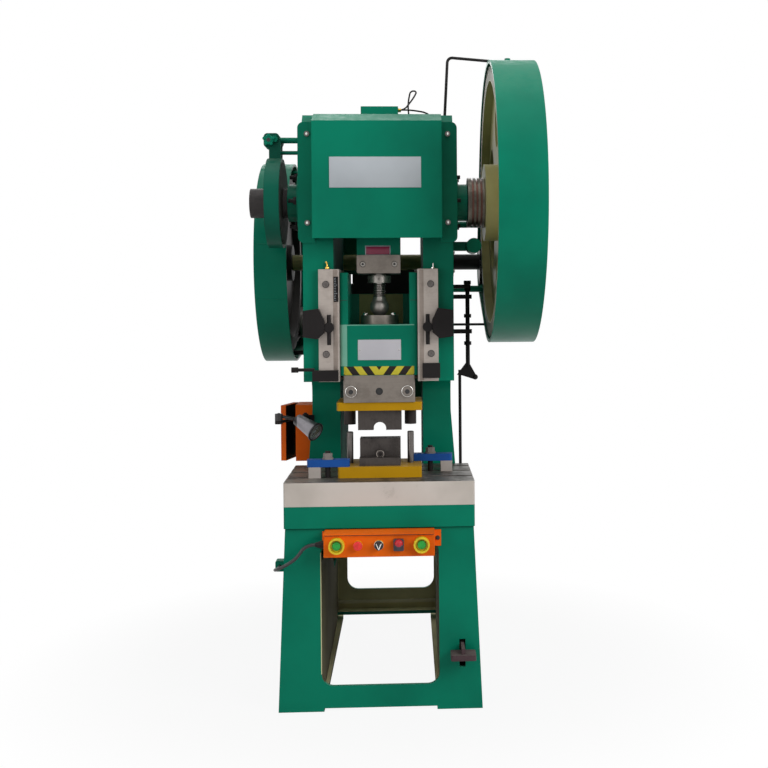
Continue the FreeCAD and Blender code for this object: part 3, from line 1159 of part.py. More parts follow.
def clamp_studs():
    """Tee studs with nuts and washers, and the risers under the bars' outer ends."""
    parts = []
    top = CLAMP_LOW + CLAMP_THICK
    head_low = BOLSTER_TOP - SLOT_THROAT_DEPTH - SLOT_HEAD_DEPTH
    for y, outer, inner, stud_x, riser_x in CLAMPS:
        stud = rod_z(stud_x, y, (head_low, top + 24), STUD_RADIUS)
        head = box((stud_x - 13, stud_x + 13), (y - 13, y + 13), (head_low, head_low + 12))
        washer = rod_z(stud_x, y, (top, top + 4), 17)
        nut = hexagon(V(stud_x, y, top + 4), 24, 14, Z_AXIS)
        parts.append(stud.fuse([head, washer, nut]))
        parts.append(box((riser_x - 18, riser_x + 18), (y - 18, y + 18), (BOLSTER_TOP, CLAMP_LOW)))
    return parts


# --------------------------------------------------------------- control box
def control_box():
    """Sheet box under the table, bolted to the stand by a tab at each end."""
    shell = box((-BOX_HALF, BOX_HALF), (BOX_FRONT, STAND_FRONT), (BOX_LOW, BOX_HIGH))
    shell = round_edges(shell, 4, Z_AXIS, lambda c: c.y < BOX_FRONT + 1)
    room = box((-BOX_HALF + 2.5, BOX_HALF - 2.5), (BOX_FRONT + 2.5, STAND_FRONT - 2.5),
               (BOX_LOW + 2.5, BOX_HIGH - 2.5))
    visor = box((-BOX_HALF, BOX_HALF), (BOX_FRONT - 8, BOX_FRONT + 1), (BOX_HIGH - 3, BOX_HIGH))
    tabs = [box((side * (BOX_HALF - 1), side * (BOX_HALF + reach)), (STAND_FRONT - 4, STAND_FRONT),
                (BOX_LOW + 15, BOX_HIGH - 5)) for side, reach in ((-1, 8), (1, 20))]
    body = shell.cut(room).fuse([visor] + tabs)
    for x, radius in ((-PALM_X, PALM_BUTTON), (PALM_X, PALM_BUTTON), (STOP_X, BUTTON_STEM),
                      (SELECTOR_X, BUTTON_STEM)):
        body = body.cut(rod_y(x, (BOX_FRONT - 1, BOX_FRONT + 3), PANEL_Z, radius + SLIDE_GAP))
    return body


def button_rings():
    """Two palm-button guards, the stop button's collar and the selector's collar."""
    rings = []
    for x in (-PALM_X, PALM_X):
        ring = rod_y(x, (BOX_FRONT - 20, BOX_FRONT), PANEL_Z, PALM_RING)
        ring = ring.cut(rod_y(x, (BOX_FRONT - 21, BOX_FRONT - 8), PANEL_Z, PALM_RING - 5))
        rings.append(ring.cut(rod_y(x, (BOX_FRONT - 21, BOX_FRONT + 1), PANEL_Z, PALM_BUTTON + SLIDE_GAP)))
    for x, radius in ((STOP_X, STOP_RADIUS), (SELECTOR_X, SELECTOR_RADIUS)):
        ring = rod_y(x, (BOX_FRONT - 4, BOX_FRONT), PANEL_Z, radius)
        rings.append(ring.cut(rod_y(x, (BOX_FRONT - 5, BOX_FRONT + 1), PANEL_Z, BUTTON_STEM + SLIDE_GAP)))
    return rings


def palm_button(x):
    cap = rod_y(x, (BOX_FRONT - 16, BOX_FRONT + 16), PANEL_Z, PALM_BUTTON)
    flange = rod_y(x, (BOX_FRONT + 6, BOX_FRONT + 12), PANEL_Z, PALM_BUTTON + 4)
    return cap.makeFillet(3, [e for e in cap.Edges if e.CenterOfMass.y < BOX_FRONT - 15]).fuse(flange)


def stop_button():
    head = rod_y(STOP_X, (BOX_FRONT - 18, BOX_FRONT - 9), PANEL_Z, STOP_RADIUS)
    head = head.makeFillet(3, [e for e in head.Edges if e.CenterOfMass.y < BOX_FRONT - 17])
    stem = rod_y(STOP_X, (BOX_FRONT - 10, BOX_FRONT + 16), PANEL_Z, BUTTON_STEM)
    flange = rod_y(STOP_X, (BOX_FRONT + 6, BOX_FRONT + 12), PANEL_Z, BUTTON_STEM + 4)
    return head.fuse([stem, flange])


def selector_knob():
    dial = rod_y(SELECTOR_X, (BOX_FRONT - 12, BOX_FRONT - 4 - SLIDE_GAP), PANEL_Z, SELECTOR_RADIUS - 1)
    grip = box((SELECTOR_X - 3.5, SELECTOR_X + 3.5), (BOX_FRONT - 24, BOX_FRONT - 11),
               (PANEL_Z - SELECTOR_RADIUS + 2, PANEL_Z + SELECTOR_RADIUS - 2))
    stem = rod_y(SELECTOR_X, (BOX_FRONT - 5, BOX_FRONT + 16), PANEL_Z, BUTTON_STEM)
    flange = rod_y(SELECTOR_X, (BOX_FRONT + 2.5 + SLIDE_GAP, BOX_FRONT + 9), PANEL_Z, BUTTON_STEM + 4)
    return dial.fuse([grip, stem, flange])


def indicator_switch():
    """Rectangular switch housing with its round lamp lens."""
    housing = box((SWITCH_X - 15, SWITCH_X + 15), (BOX_FRONT - 12, BOX_FRONT), (PANEL_Z - 17, PANEL_Z + 17))
    housing = round_edges(housing, 4, Y_AXIS)
    lens = rod_y(SWITCH_X, (BOX_FRONT - 22, BOX_FRONT - 12), PANEL_Z, 10)
    return housing.fuse(lens.makeFillet(3, [e for e in lens.Edges if e.CenterOfMass.y < BOX_FRONT - 21]))


def cable_glands():
    """Gland in the control box's end, and the clamp block on the stand's left wall."""
    first, last = CABLE_ROUTE[0], CABLE_ROUTE[-1]
    nut = rod_x((-BOX_HALF, -BOX_HALF - 10), first.y, first.z, 12)
    tail = Part.makeCone(11, CABLE_RADIUS + 1, 16, V(-BOX_HALF - 10, first.y, first.z), V(-1, 0, 0))
    wall = -wall_half(last.z + 20) + 0.5
    block = box((wall, last.x - 13), (last.y, last.y + 34), (last.z - 16, last.z + 16))
    inner = prism_y([(-wall_half(last.z - 17), last.z - 17), (-wall_half(last.z + 17), last.z + 17),
                     (0, last.z + 17), (0, last.z - 17)], (last.y - 1, last.y + 35))
    return [nut.fuse(tail), round_edges(block, 5, Y_AXIS, lambda c: c.x < last.x).cut(inner)]


# --------------------------------------------------------------- pedal, rods
def foot_pedal():
    """Long arm pivoted at the rear, through the slot in the front panel, with its tread."""
    arm = box((PEDAL_ARM_X - PEDAL_ARM_HALF, PEDAL_ARM_X + PEDAL_ARM_HALF), (PEDAL_END, PEDAL_Y),
              (PEDAL_Z - PEDAL_ARM_HIGH, PEDAL_Z + PEDAL_ARM_HIGH))
    eye = rod_x((PEDAL_ARM_X - PEDAL_ARM_HALF, PEDAL_ARM_X + PEDAL_ARM_HALF), PEDAL_Y, PEDAL_Z, 20)
    tread = box((TREADLE_LEFT, TREADLE_RIGHT), (PEDAL_END - 12, PEDAL_END + 46),
                (PEDAL_Z - PEDAL_ARM_HIGH - 15, PEDAL_Z - PEDAL_ARM_HIGH + 1))
    tread = round_edges(tread, 6, Z_AXIS)
    spur = rod_x((PEDAL_ARM_X, ROD_X + ROD_RADIUS + 3), ROD_Y, PEDAL_Z, SPUR_RADIUS)
    pedal = arm.fuse([eye, tread, spur])
    return pedal.cut(rod_x((PEDAL_ARM_X - 20, PEDAL_ARM_X + 20), PEDAL_Y, PEDAL_Z, PEDAL_PIN + RUNNING_FIT))


def pedal_link():
    """Lower trip rod: eye on the pedal's spur, straight rod up to the trunnion's height."""
    eye = rod_x((ROD_X - 4, ROD_X + 4), ROD_Y, PEDAL_Z, 12)
    rod = rod_z(ROD_X, ROD_Y, (PEDAL_Z + 8, ROD_SPLIT - ROD_GAP), ROD_RADIUS)
    fit = SPUR_RADIUS + RUNNING_FIT
    hole = (ROD_X - 5, ROD_X + 5)
    slot = rod_x(hole, ROD_Y, PEDAL_Z, fit).fuse([
        rod_x(hole, ROD_Y + SPUR_DRIFT, PEDAL_Z, fit),
        box(hole, (ROD_Y, ROD_Y + SPUR_DRIFT), (PEDAL_Z - fit, PEDAL_Z + fit))])
    return eye.fuse(rod).cut(slot)


def trip_rod():
    """Pull rod, triangle plate and guided trip rod beside the right upright."""
    pull = rod_z(ROD_X, ROD_Y, (ROD_SPLIT, TRIP_LOW + 20), ROD_RADIUS)
    plate = prism_y([(ROD_X - 9, TRIP_LOW + 4), (ROD_X + 6, TRIP_LOW + 2), (TRIP_X + 22, TRIP_LOW - 12),
                     (TRIP_X + 26, TRIP_LOW + 4), (TRIP_X + 4, TRIP_LOW + 44), (TRIP_X - 6, TRIP_LOW + 44)],
                    (ROD_Y - 5, ROD_Y + 5))
    bar = rod_z(TRIP_X, ROD_Y, (TRIP_LOW + 30, TRIP_HIGH), TRIP_RADIUS)
    collars = [rod_z(TRIP_X, ROD_Y, (z, z + 12), TRIP_RADIUS + 5) for z in TRIP_COLLARS]
    grip = Part.makeSphere(9, V(TRIP_X + 24, ROD_Y, TRIP_LOW - 4))
    return pull.fuse([plate, bar, grip] + collars).removeSplitter()



def trip_bracket():
    """Backplate on the upright with two guide arms for the trip rod."""
    plate = box((COLUMN_OUTER, COLUMN_OUTER + 8), (ROD_Y - 20, ROD_Y + 25),
                (TRIP_GUIDES[0] - 18, TRIP_GUIDES[1] + 28))
    bracket = plate
    for z in TRIP_GUIDES:
        arm = box((COLUMN_OUTER + 7, TRIP_X + 14), (ROD_Y - 12, ROD_Y + 12), (z, z + 14))
        arm = round_edges(arm, 8, Z_AXIS, lambda c: c.x > TRIP_X)
        bracket = bracket.fuse(arm.cut(rod_z(TRIP_X, ROD_Y, (z - 1, z + 15), TRIP_RADIUS + RUNNING_FIT)))
    return bracket.removeSplitter()


# ------------------------------------------------------------- cabinet, lamp
def column_half(z):
    """Outer half width of the uprights at a height."""
    share = max(0.0, (FLARE_TOP - z) / (FLARE_TOP - TABLE_TOP))
    return COLUMN_OUTER + (FOOT_OUTER - COLUMN_OUTER) * share


def electric_cabinet():
    """Sheet cabinet whose back edge follows the upright's flare, open to the left."""
    t = CABINET_SHEET

    def outline(left, low, high, gap):
        return [(left, low), (-column_half(low) - gap, low), (-column_half(high) - gap, high), (left, high)]

    outer = prism_y(outline(CABINET_LEFT, CABINET_LOW, CABINET_HIGH, SLIDE_GAP), (CABINET_FRONT, CABINET_REAR))
    room = prism_y(outline(CABINET_LEFT - 1, CABINET_LOW + t, CABINET_HIGH - t, SLIDE_GAP + t),
                   (CABINET_FRONT + t, CABINET_REAR - t))
    body = outer.cut(room)
    for z in (CABINET_LOW + 40, CABINET_HIGH - 60):
        barrel = rod_z(HINGE_X, HINGE_Y, (z, z + 20), HINGE_BARREL)
        pin = rod_z(HINGE_X, HINGE_Y, (z, z + 40), HINGE_RADIUS)
        leaf = box((HINGE_X, CABINET_LEFT + 16), (CABINET_REAR, CABINET_REAR + 3), (z, z + 20))
        body = body.fuse([barrel, pin, leaf])
    return body.removeSplitter()


def cabinet_door():
    """Pan door hinged at the rear, drawn closed and then swung ajar."""
    face = CABINET_LEFT - SLIDE_GAP * 2
    x = (face - DOOR_THICK, face)
    y, z = (CABINET_FRONT, CABINET_REAR), (CABINET_LOW + 1, CABINET_HIGH - 1)
    door = box(x, y, z)
    t = CABINET_SHEET
    door = door.cut(box((x[0] + 3 * t, x[1] + 1), (y[0] + t, y[1] - t), (z[0] + t, z[1] - t)))
    door = door.cut(box((x[0] - 1, x[0] + t), (y[0] + 3 * t, y[1] - 3 * t), (z[0] + 3 * t, z[1] - 3 * t)))
    for low in (CABINET_LOW + 60, CABINET_HIGH - 40):
        span = (low + SLIDE_GAP, low + 20)
        barrel = rod_z(HINGE_X, HINGE_Y, span, HINGE_BARREL)
        leaf = box((HINGE_X - HINGE_BARREL, HINGE_X), (CABINET_REAR - 1, HINGE_Y), span)
        door = door.fuse(barrel.fuse(leaf))
        door = door.cut(rod_z(HINGE_X, HINGE_Y, (low - 1, low + 21), HINGE_RADIUS + RUNNING_FIT))
    door.rotate(V(HINGE_X, HINGE_Y, 0), Z_AXIS, -DOOR_AJAR)
    return door


def lamp_arm():
    """Bracket eye on the upright's corner, bent arm and knob."""
    eye = rod_z(LAMP_BASE.x, LAMP_BASE.y, (LAMP_BASE.z - 8, LAMP_BASE.z + 8), 10)
    eye = eye.cut(rod_z(LAMP_BASE.x, LAMP_BASE.y, (LAMP_BASE.z - 9, LAMP_BASE.z + 9), 5 + RUNNING_FIT))
    drop = V(0, 0, -7)
    reach = (LAMP_KNOB + drop - LAMP_BASE).normalize()
    arm = between(LAMP_BASE + reach * 8, LAMP_KNOB + drop - reach * 4, 5)
    knob = rod_z(LAMP_KNOB.x, LAMP_KNOB.y, (LAMP_KNOB.z - 12, LAMP_KNOB.z - 1), 12)
    pin = rod_z(LAMP_KNOB.x, LAMP_KNOB.y, (LAMP_KNOB.z - 12, LAMP_KNOB.z + 22), 4)
    return eye.fuse([arm.cut(eye), knob, pin]).removeSplitter()


def lamp_foot():
    """Pin and plate that hold the lamp's arm on the upright."""
    plate = box((LAMP_BASE.x - 10, -COLUMN_OUTER + 6), (THROAT - 5, THROAT), (LAMP_BASE.z - 20, LAMP_BASE.z + 2))
    tongue = box((LAMP_BASE.x - 8, LAMP_BASE.x + 8), (LAMP_BASE.y, THROAT - 4),
                 (LAMP_BASE.z - 20, LAMP_BASE.z - 8 - SLIDE_GAP))
    pin = rod_z(LAMP_BASE.x, LAMP_BASE.y, (LAMP_BASE.z - 20, LAMP_BASE.z + 12), 5)
    return plate.fuse([tongue, pin])


def lamp_head():
    """Cup on the knob's pin, short neck and open reflector cone."""
    cup = rod_z(LAMP_KNOB.x, LAMP_KNOB.y, (LAMP_KNOB.z - 1 + SLIDE_GAP, LAMP_KNOB.z + 20), 12)
    cup = cup.cut(rod_z(LAMP_KNOB.x, LAMP_KNOB.y, (LAMP_KNOB.z - 2, LAMP_KNOB.z + 21), 4 + RUNNING_FIT))
    centre = V(LAMP_KNOB.x, LAMP_KNOB.y, LAMP_KNOB.z + 13)
    reach = (LAMP_TAIL - centre).normalize()
    neck = between(centre + reach * 10, LAMP_TAIL, 5)
    axis = (LAMP_RIM - LAMP_TAIL).normalize()
    cone = between(LAMP_TAIL, LAMP_RIM, LAMP_RADIUS - 10, LAMP_RADIUS)
    hollow = between(LAMP_TAIL + axis * 46, LAMP_RIM + axis, LAMP_RADIUS - 12, LAMP_RADIUS - 3)
    return cup.fuse([neck, cone]).cut(hollow)


def main():
    os.makedirs("parts", exist_ok=True)
    save("base_stand", base_stand())
    save("pivot_pins", *pivot_pins())
    save("c_frame", c_frame())
    save("tilt_bolts", *tilt_bolts())
    save("bolster", bolster())
    save("gibs", *both_sides(gib()))
    save("frame_screws", *gib_screws(), *cover_screws())
    save("slide", slide())
    save("ball_seat", ball_seat())
    save("shank_block", shank_block())
    save("shank_screws", *shank_screws())
    save("crankshaft", crankshaft())
    save("bearing_flanges", *bearing_flanges())
    save("clutch_hub", clutch_hub())
    save("big_gear", big_gear())
    save("drive_shaft", drive_shaft())
    save("flywheel", flywheel())
    save("motor_pulley", motor_pulley())
    save("v_belts", *v_belts())
    save("con_rod", con_rod())
    save("rod_cap", rod_cap())
    save("ball_screw", ball_screw())
    save("capstan_nut", capstan_nut())
    save("brake_drum", brake_drum())
    save("brake_band", brake_band())
    save("brake_anchor", *brake_anchor())
    save("gear_guard", gear_guard())
    save("belt_guard", belt_guard())
    save("guard_bracket", *guard_bracket())
    save("motor", motor())
    save("motor_plate", motor_plate())
    save("front_cover", front_cover())
    save("lubricator", *lubricator())
    save("stroke_scale", stroke_scale())
    save("knockout_brackets", *knockout_brackets())
    save("lower_die_plate", lower_die_plate())
    save("guide_posts", *guide_posts())
    save("lower_die", lower_die())
    save("upper_die_plate", upper_die_plate())
    save("upper_die", upper_die())
    save("clamp_bars", *clamp_bars())
    save("clamp_studs", *clamp_studs())
    save("control_box", control_box())
    save("button_rings", *button_rings())
    save("palm_button_left", palm_button(-PALM_X))
    save("palm_button_right", palm_button(PALM_X))
    save("stop_button", stop_button())
    save("selector_knob", selector_knob())
    save("indicator_switch", indicator_switch())
    save("control_cable", bent_tube(list(CABLE_ROUTE), CABLE_RADIUS))
    save("cable_glands", *cable_glands())
    save("foot_pedal", foot_pedal())
    save("pedal_link", pedal_link())
    save("trip_rod", trip_rod())
    save("trip_bracket", trip_bracket())
    save("lamp_foot", lamp_foot())
    save("electric_cabinet", electric_cabinet())
    save("cabinet_door", cabinet_door())
    save("lamp_arm", lamp_arm())
    save("lamp_head", lamp_head())


main()
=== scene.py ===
import math

import bmesh
import bpy
from mathutils import Matrix, Vector


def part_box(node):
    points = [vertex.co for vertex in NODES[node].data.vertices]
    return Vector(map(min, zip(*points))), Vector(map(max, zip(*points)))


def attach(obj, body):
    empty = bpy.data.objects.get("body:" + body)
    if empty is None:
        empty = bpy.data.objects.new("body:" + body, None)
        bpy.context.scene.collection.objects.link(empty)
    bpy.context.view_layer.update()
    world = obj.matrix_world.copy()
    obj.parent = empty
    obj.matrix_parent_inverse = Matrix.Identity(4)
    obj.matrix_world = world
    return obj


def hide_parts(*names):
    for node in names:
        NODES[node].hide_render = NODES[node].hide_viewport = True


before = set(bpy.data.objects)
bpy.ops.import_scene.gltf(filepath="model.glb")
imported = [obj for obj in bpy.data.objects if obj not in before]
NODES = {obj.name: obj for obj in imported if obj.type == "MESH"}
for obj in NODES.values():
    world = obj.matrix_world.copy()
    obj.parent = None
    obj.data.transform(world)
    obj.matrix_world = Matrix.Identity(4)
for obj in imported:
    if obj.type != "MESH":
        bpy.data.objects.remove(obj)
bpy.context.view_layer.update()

MM = 0.001
MASK_EDGE = 0.2 * MM      # a box's mask turns from 0 to 1 from this far outside it to as far inside
INWARD_EDGE = 10 * MM     # how far before its limit the mask of the inward faces starts
WELD_GAP = 0.02 * MM      # vertices of a CAD node that are nearer than this are joined
CREASE_ANGLE = 32         # degrees past which an edge of a CAD node stays sharp
SHARP_ANGLE = 40          # the same for an added piece


# ------------------------------------------------------------------- colours
def colour(code):
    """Linear colour of a hexadecimal display colour."""
    parts = [int(code[i:i + 2], 16) / 255 for i in (0, 2, 4)]
    return tuple(p / 12.92 if p <= 0.04045 else ((p + 0.055) / 1.055) ** 2.4 for p in parts) + (1.0,)


GREEN, GREEN_SHADE = "037f63", "057058"
ORANGE, ORANGE_SHADE = "fb6f12", "d75a10"
DIE_YELLOW, DIE_YELLOW_SHADE, DIE_BARE = "bf8f12", "9c7614", "5e4f2a"
OFF_WHITE, OFF_WHITE_SHADE = "d3cac1", "b9b0a6"
BARE_METAL = "8d8781"
# Pale colour for top faces: settled dirt, and partly painted light from above.
DUST_AND_TOP_LIGHT = "b4b8a8"
WHITE = (1.0, 1.0, 1.0, 1.0)


# --------------------------------------------------------------- node helpers
def feed(tree, socket, value):
    """Link a socket to the one that feeds it, or give it a plain value."""
    if isinstance(value, bpy.types.NodeSocket):
        tree.links.new(value, socket)
    else:
        socket.default_value = value


def wire(tree, kind, **values):
    """Add a shader node; each value goes to the input of that name, or of that number after an n."""
    node = tree.nodes.new("ShaderNode" + kind)
    for name, value in values.items():
        numbered = name[0] == "n" and name[1:].isdigit()
        feed(tree, node.inputs[int(name[1:]) if numbered else name.replace("_", " ")], value)
    return node


def math_node(tree, operation, first, second=0.0):
    node = wire(tree, "Math", n0=first, n1=second)
    node.operation = operation
    return node.outputs[0]


def times(tree, first, second):
    return math_node(tree, "MULTIPLY", first, second)


def plus(tree, first, second):
    return math_node(tree, "ADD", first, second)


def larger(tree, first, second):
    return math_node(tree, "MAXIMUM", first, second)


def vector_node(tree, operation, first, second=(0.0, 0.0, 0.0)):
    """Result of a vector operation, which is a plain value for a length or a dot product."""
    node = wire(tree, "VectorMath", n0=first, n1=second)
    node.operation = operation
    return node.outputs["Value" if operation in ("LENGTH", "DOT_PRODUCT") else "Vector"]


def place_on(tree):
    """Place on the object, in metres."""
    return tree.nodes.new("ShaderNodeTexCoord").outputs["Object"]


def axes(tree, coordinates):
    """X, Y and Z parts of the Object or Normal coordinates."""
    source = tree.nodes.new("ShaderNodeTexCoord")
    return wire(tree, "SeparateXYZ", Vector=source.outputs[coordinates]).outputs


def blend(tree, factor, first, second, kind="RGBA"):
    """Mix of two colours, or of two plain values."""
    node = tree.nodes.new("ShaderNodeMix")
    node.data_type = kind
    slot = 6 if kind == "RGBA" else 2
    for number, value in ((0, factor), (slot, first), (slot + 1, second)):
        feed(tree, node.inputs[number], value)
    return node.outputs[2 if kind == "RGBA" else 0]


def ramp(tree, value, low, high):
    """Smooth step from 0 at low to 1 at high."""
    node = wire(tree, "MapRange", Value=value, From_Min=low, From_Max=high)
    node.interpolation_type = "SMOOTHSTEP"
    return node.outputs[0]


def fall(tree, value, high, low):
    """Smooth step from 0 at high to 1 at low."""
    return ramp(tree, times(tree, value, -1.0), -high, -low)


def noise(tree, scale, detail=3.0, roughness=0.55):
    node = wire(tree, "TexNoise", Vector=place_on(tree), Scale=scale, Detail=detail, Roughness=roughness)
    return node.outputs["Fac"]


def new_group(name, inputs, outputs):
    """Group whose sockets are listed as name:kind, the kind being c, f or v: colour, value or vector."""
    group = bpy.data.node_groups.new(name, "ShaderNodeTree")
    kinds = {"c": "NodeSocketColor", "f": "NodeSocketFloat", "v": "NodeSocketVector"}
    for direction, sockets in (("INPUT", inputs), ("OUTPUT", outputs)):
        for socket in sockets.split():
            label, kind = socket.split(":")
            group.interface.new_socket(label, in_out=direction, socket_type=kinds[kind])
    start = group.nodes.new("NodeGroupInput")
    end = group.nodes.new("NodeGroupOutput")
    return group, start, end


def use_group(tree, group, **values):
    node = tree.nodes.new("ShaderNodeGroup")
    node.node_tree = group
    for name, value in values.items():
        feed(tree, node.inputs[name], value)
    return node


# -------------------------------------------------------------- shared effects
SURFACE = "Colour:c Roughness:f Height:f"


def paint_film_group():
    """Brushed enamel: cloudy tone, pale specks on top faces that are partly settled dirt and partly painted
    light from above, fine orange peel.
    """
    group, start, end = new_group("paint film", "Paint:c Shade:c Dust:c Gloss:f", SURFACE)
    tone = ramp(group, noise(group, 4.0, 4.0), 0.35, 0.75)
    body = blend(group, tone, start.outputs["Paint"], start.outputs["Shade"])
    speck = ramp(group, noise(group, 38.0, 5.0, 0.7), 0.25, 0.7)
    # Top faces pale in specks: partly settled dirt, partly painted light from above.
    top = times(group, ramp(group, axes(group, "Normal")["Z"], 0.55, 1.0), speck)
    feed(group, end.inputs["Colour"], blend(group, times(group, top, 0.12), body, start.outputs["Dust"]))
    rough = plus(group, start.outputs["Gloss"], times(group, tone, 0.1))
    feed(group, end.inputs["Roughness"], plus(group, rough, times(group, top, 0.3)))
    peel = noise(group, 260.0, 2.0, 0.4)
    swell = noise(group, 9.0, 2.0, 0.4)
    feed(group, end.inputs["Height"], plus(group, times(group, peel, 0.18), swell))
    return group


def edge_wear_group():
    """Mask that is 1 where an edge is rubbed bare, in broken patches."""
    group, start, end = new_group("edge wear", "Width:f Amount:f", "Mask:f")
    round_normal = wire(group, "Bevel", Radius=start.outputs["Width"])
    round_normal.samples = 4
    flat = group.nodes.new("ShaderNodeNewGeometry")
    match = vector_node(group, "DOT_PRODUCT", round_normal.outputs[0], flat.outputs["Normal"])
    turned = ramp(group, math_node(group, "SUBTRACT", 1.0, match), 0.01, 0.08)
    limit = math_node(group, "SUBTRACT", 0.78, start.outputs["Amount"])
    broken = ramp(group, noise(group, 30.0, 6.0, 0.75), limit, plus(group, limit, 0.12))
    feed(group, end.inputs["Mask"], times(group, turned, broken))
    return group


def metal_grain_group():
    """Ground or turned steel: fine scratches along one direction, stains in patches."""
    group, start, end = new_group("metal grain", "Metal:c Stain:c Stretch:v Stained:f Polish:f", SURFACE)
    scaled = vector_node(group, "MULTIPLY", place_on(group), start.outputs["Stretch"])
    scratch = wire(group, "TexNoise", Vector=scaled, Scale=1.0, Detail=4.0, Roughness=0.7).outputs["Fac"]
    patch = ramp(group, noise(group, 22.0, 6.0, 0.72), 0.42, 0.72)
    stained = times(group, patch, start.outputs["Stained"])
    streak = times(group, ramp(group, scratch, 0.3, 0.8), 0.25)
    body = blend(group, streak, start.outputs["Metal"], start.outputs["Stain"])
    feed(group, end.inputs["Colour"], blend(group, stained, body, start.outputs["Stain"]))
    rough = plus(group, start.outputs["Polish"], times(group, scratch, 0.16))
    feed(group, end.inputs["Roughness"], plus(group, rough, times(group, stained, 0.2)))
    feed(group, end.inputs["Height"], scratch)
    return group


def cast_skin_group():
    """Sand-cast surface: two sizes of lumps and a blotchy tone."""
    group, start, end = new_group("cast skin", "Iron:c Blotch:c", SURFACE)
    blotch = noise(group, 14.0, 6.0, 0.65)
    lump = noise(group, 180.0, 5.0, 0.7)
    tone = ramp(group, blotch, 0.35, 0.7)
    feed(group, end.inputs["Colour"], blend(group, tone, start.outputs["Iron"], start.outputs["Blotch"]))
    feed(group, end.inputs["Roughness"], plus(group, 0.42, times(group, lump, 0.3)))
    feed(group, end.inputs["Height"], plus(group, lump, blotch))
    return group


PAINT_FILM = paint_film_group()
EDGE_WEAR = edge_wear_group()
METAL_GRAIN = metal_grain_group()
CAST_SKIN = cast_skin_group()


def paint_film(tree, paint, shade, dust, gloss):
    return use_group(tree, PAINT_FILM, Paint=colour(paint), Shade=colour(shade), Dust=colour(dust),
                     Gloss=gloss).outputs


def worn_edges(tree, width, amount):
    """Mask of the rubbed edges, their width in millimetres."""
    return use_group(tree, EDGE_WEAR, Width=width * MM, Amount=amount).outputs["Mask"]


def metal_grain(tree, metal, stain, stretch, stained, roughness):
    return use_group(tree, METAL_GRAIN, Metal=colour(metal), Stain=colour(stain), Stretch=stretch,
                     Stained=stained, Polish=roughness).outputs


# ------------------------------------------------------------------ materials
def new_material(name):
    material = bpy.data.materials.new(name)
    material.use_nodes = True
    tree = material.node_tree
    return material, tree, tree.nodes["Principled BSDF"]


def cover_with(tree, shader, body, rough, metallic=0.0):
    for name, value in (("Base Color", body), ("Roughness", rough), ("Metallic", metallic)):
        feed(tree, shader.inputs[name], value)


def set_relief(tree, shader, height, strength, distance, edge):
    """Bump from a height, over edges that catch the light as if broken by a small radius in millimetres."""
    rounded = wire(tree, "Bevel", Radius=edge * MM)
    rounded.samples = 4
    bump = wire(tree, "Bump", Height=height, Normal=rounded.outputs[0], Strength=strength,
                Distance=distance * MM)
    feed(tree, shader.inputs["Normal"], bump.outputs[0])


def within(low, high):
    """Mask that is 1 inside a box, its corners in millimetres."""
    def mask(tree):
        middle = (Vector(low) + Vector(high)) / 2 * MM
        half = (Vector(high) - Vector(low)) / 2 * MM
        reach = vector_node(tree, "ABSOLUTE", vector_node(tree, "SUBTRACT", place_on(tree), middle))
        spare = wire(tree, "SeparateXYZ", Vector=vector_node(tree, "SUBTRACT", half, reach)).outputs
        least = math_node(tree, "MINIMUM", math_node(tree, "MINIMUM", spare["X"], spare["Y"]), spare["Z"])
        return ramp(tree, least, -MASK_EDGE, MASK_EDGE)
    return mask


def inward(axis, limit):
    """Mask of the faces that look towards the middle along an axis, from at least a limit in metres."""
    def mask(tree):
        outwards = times(tree, axes(tree, "Object")[axis], axes(tree, "Normal")[axis])
        return fall(tree, outwards, INWARD_EDGE - limit, -limit)
    return mask


def outside_radius(node, radius):
    """Mask that is 1 past a distance, in millimetres, from the X axis through a node's middle."""
    def mask(tree):
        middle = (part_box(node)[0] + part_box(node)[1]) / 2
        offset = vector_node(tree, "SUBTRACT", place_on(tree), middle)
        reach = vector_node(tree, "LENGTH", vector_node(tree, "MULTIPLY", offset, (0.0, 1.0, 1.0)))
        return ramp(tree, reach, (radius - 1) * MM, (radius + 1) * MM)
    return mask


def painted(name, paint, shade, gloss=0.3, wear=0.02, bare=BARE_METAL, dust=DUST_AND_TOP_LIGHT, other=()):
    """Enamel on metal. Each entry of other holds a mask and the paint, shade and gloss of its faces."""
    material, tree, shader = new_material(name)
    film = paint_film(tree, paint, shade, dust, gloss)
    body, rough = film["Colour"], film["Roughness"]
    for mask, other_paint, other_shade, other_gloss in other:
        second = paint_film(tree, other_paint, other_shade, DUST_AND_TOP_LIGHT, other_gloss)
        share = mask(tree)
        body = blend(tree, share, body, second["Colour"])
        rough = blend(tree, share, rough, second["Roughness"], "FLOAT")
    cover_with(tree, shader, blend(tree, worn_edges(tree, 2.0, wear), body, colour(bare)), rough)
    shader.inputs["Specular IOR Level"].default_value = 0.1
    set_relief(tree, shader, film["Height"], 0.25, 0.4, 1.2)
    return material


def green(name, *other):
    return painted(name, GREEN, GREEN_SHADE, other=other)


def ground_metal(name, metal, stain, stretch, stained, roughness, metallic, black=None):
    """Steel or brass with grain; black masks the faces that are blackened instead."""
    material, tree, shader = new_material(name)
    grain = metal_grain(tree, metal, stain, stretch, stained, roughness)
    body = grain["Colour"]
    if black:
        share = black(tree)
        body = blend(tree, share, body, colour("1c1a1b"))
        metallic = blend(tree, share, metallic, 0.0, "FLOAT")
    cover_with(tree, shader, body, grain["Roughness"], metallic)
    set_relief(tree, shader, grain["Height"], 0.3, 0.1, 0.8)
    return material


def oiled_iron():
    """Rough dark casting with an oily skin."""
    material, tree, shader = new_material("oiled_iron")
    skin = use_group(tree, CAST_SKIN, Iron=colour("2c2724"), Blotch=colour("1d1a18")).outputs
    cover_with(tree, shader, skin["Colour"], skin["Roughness"], 0.3)
    set_relief(tree, shader, skin["Height"], 0.4, 0.5, 1.5)
    return material


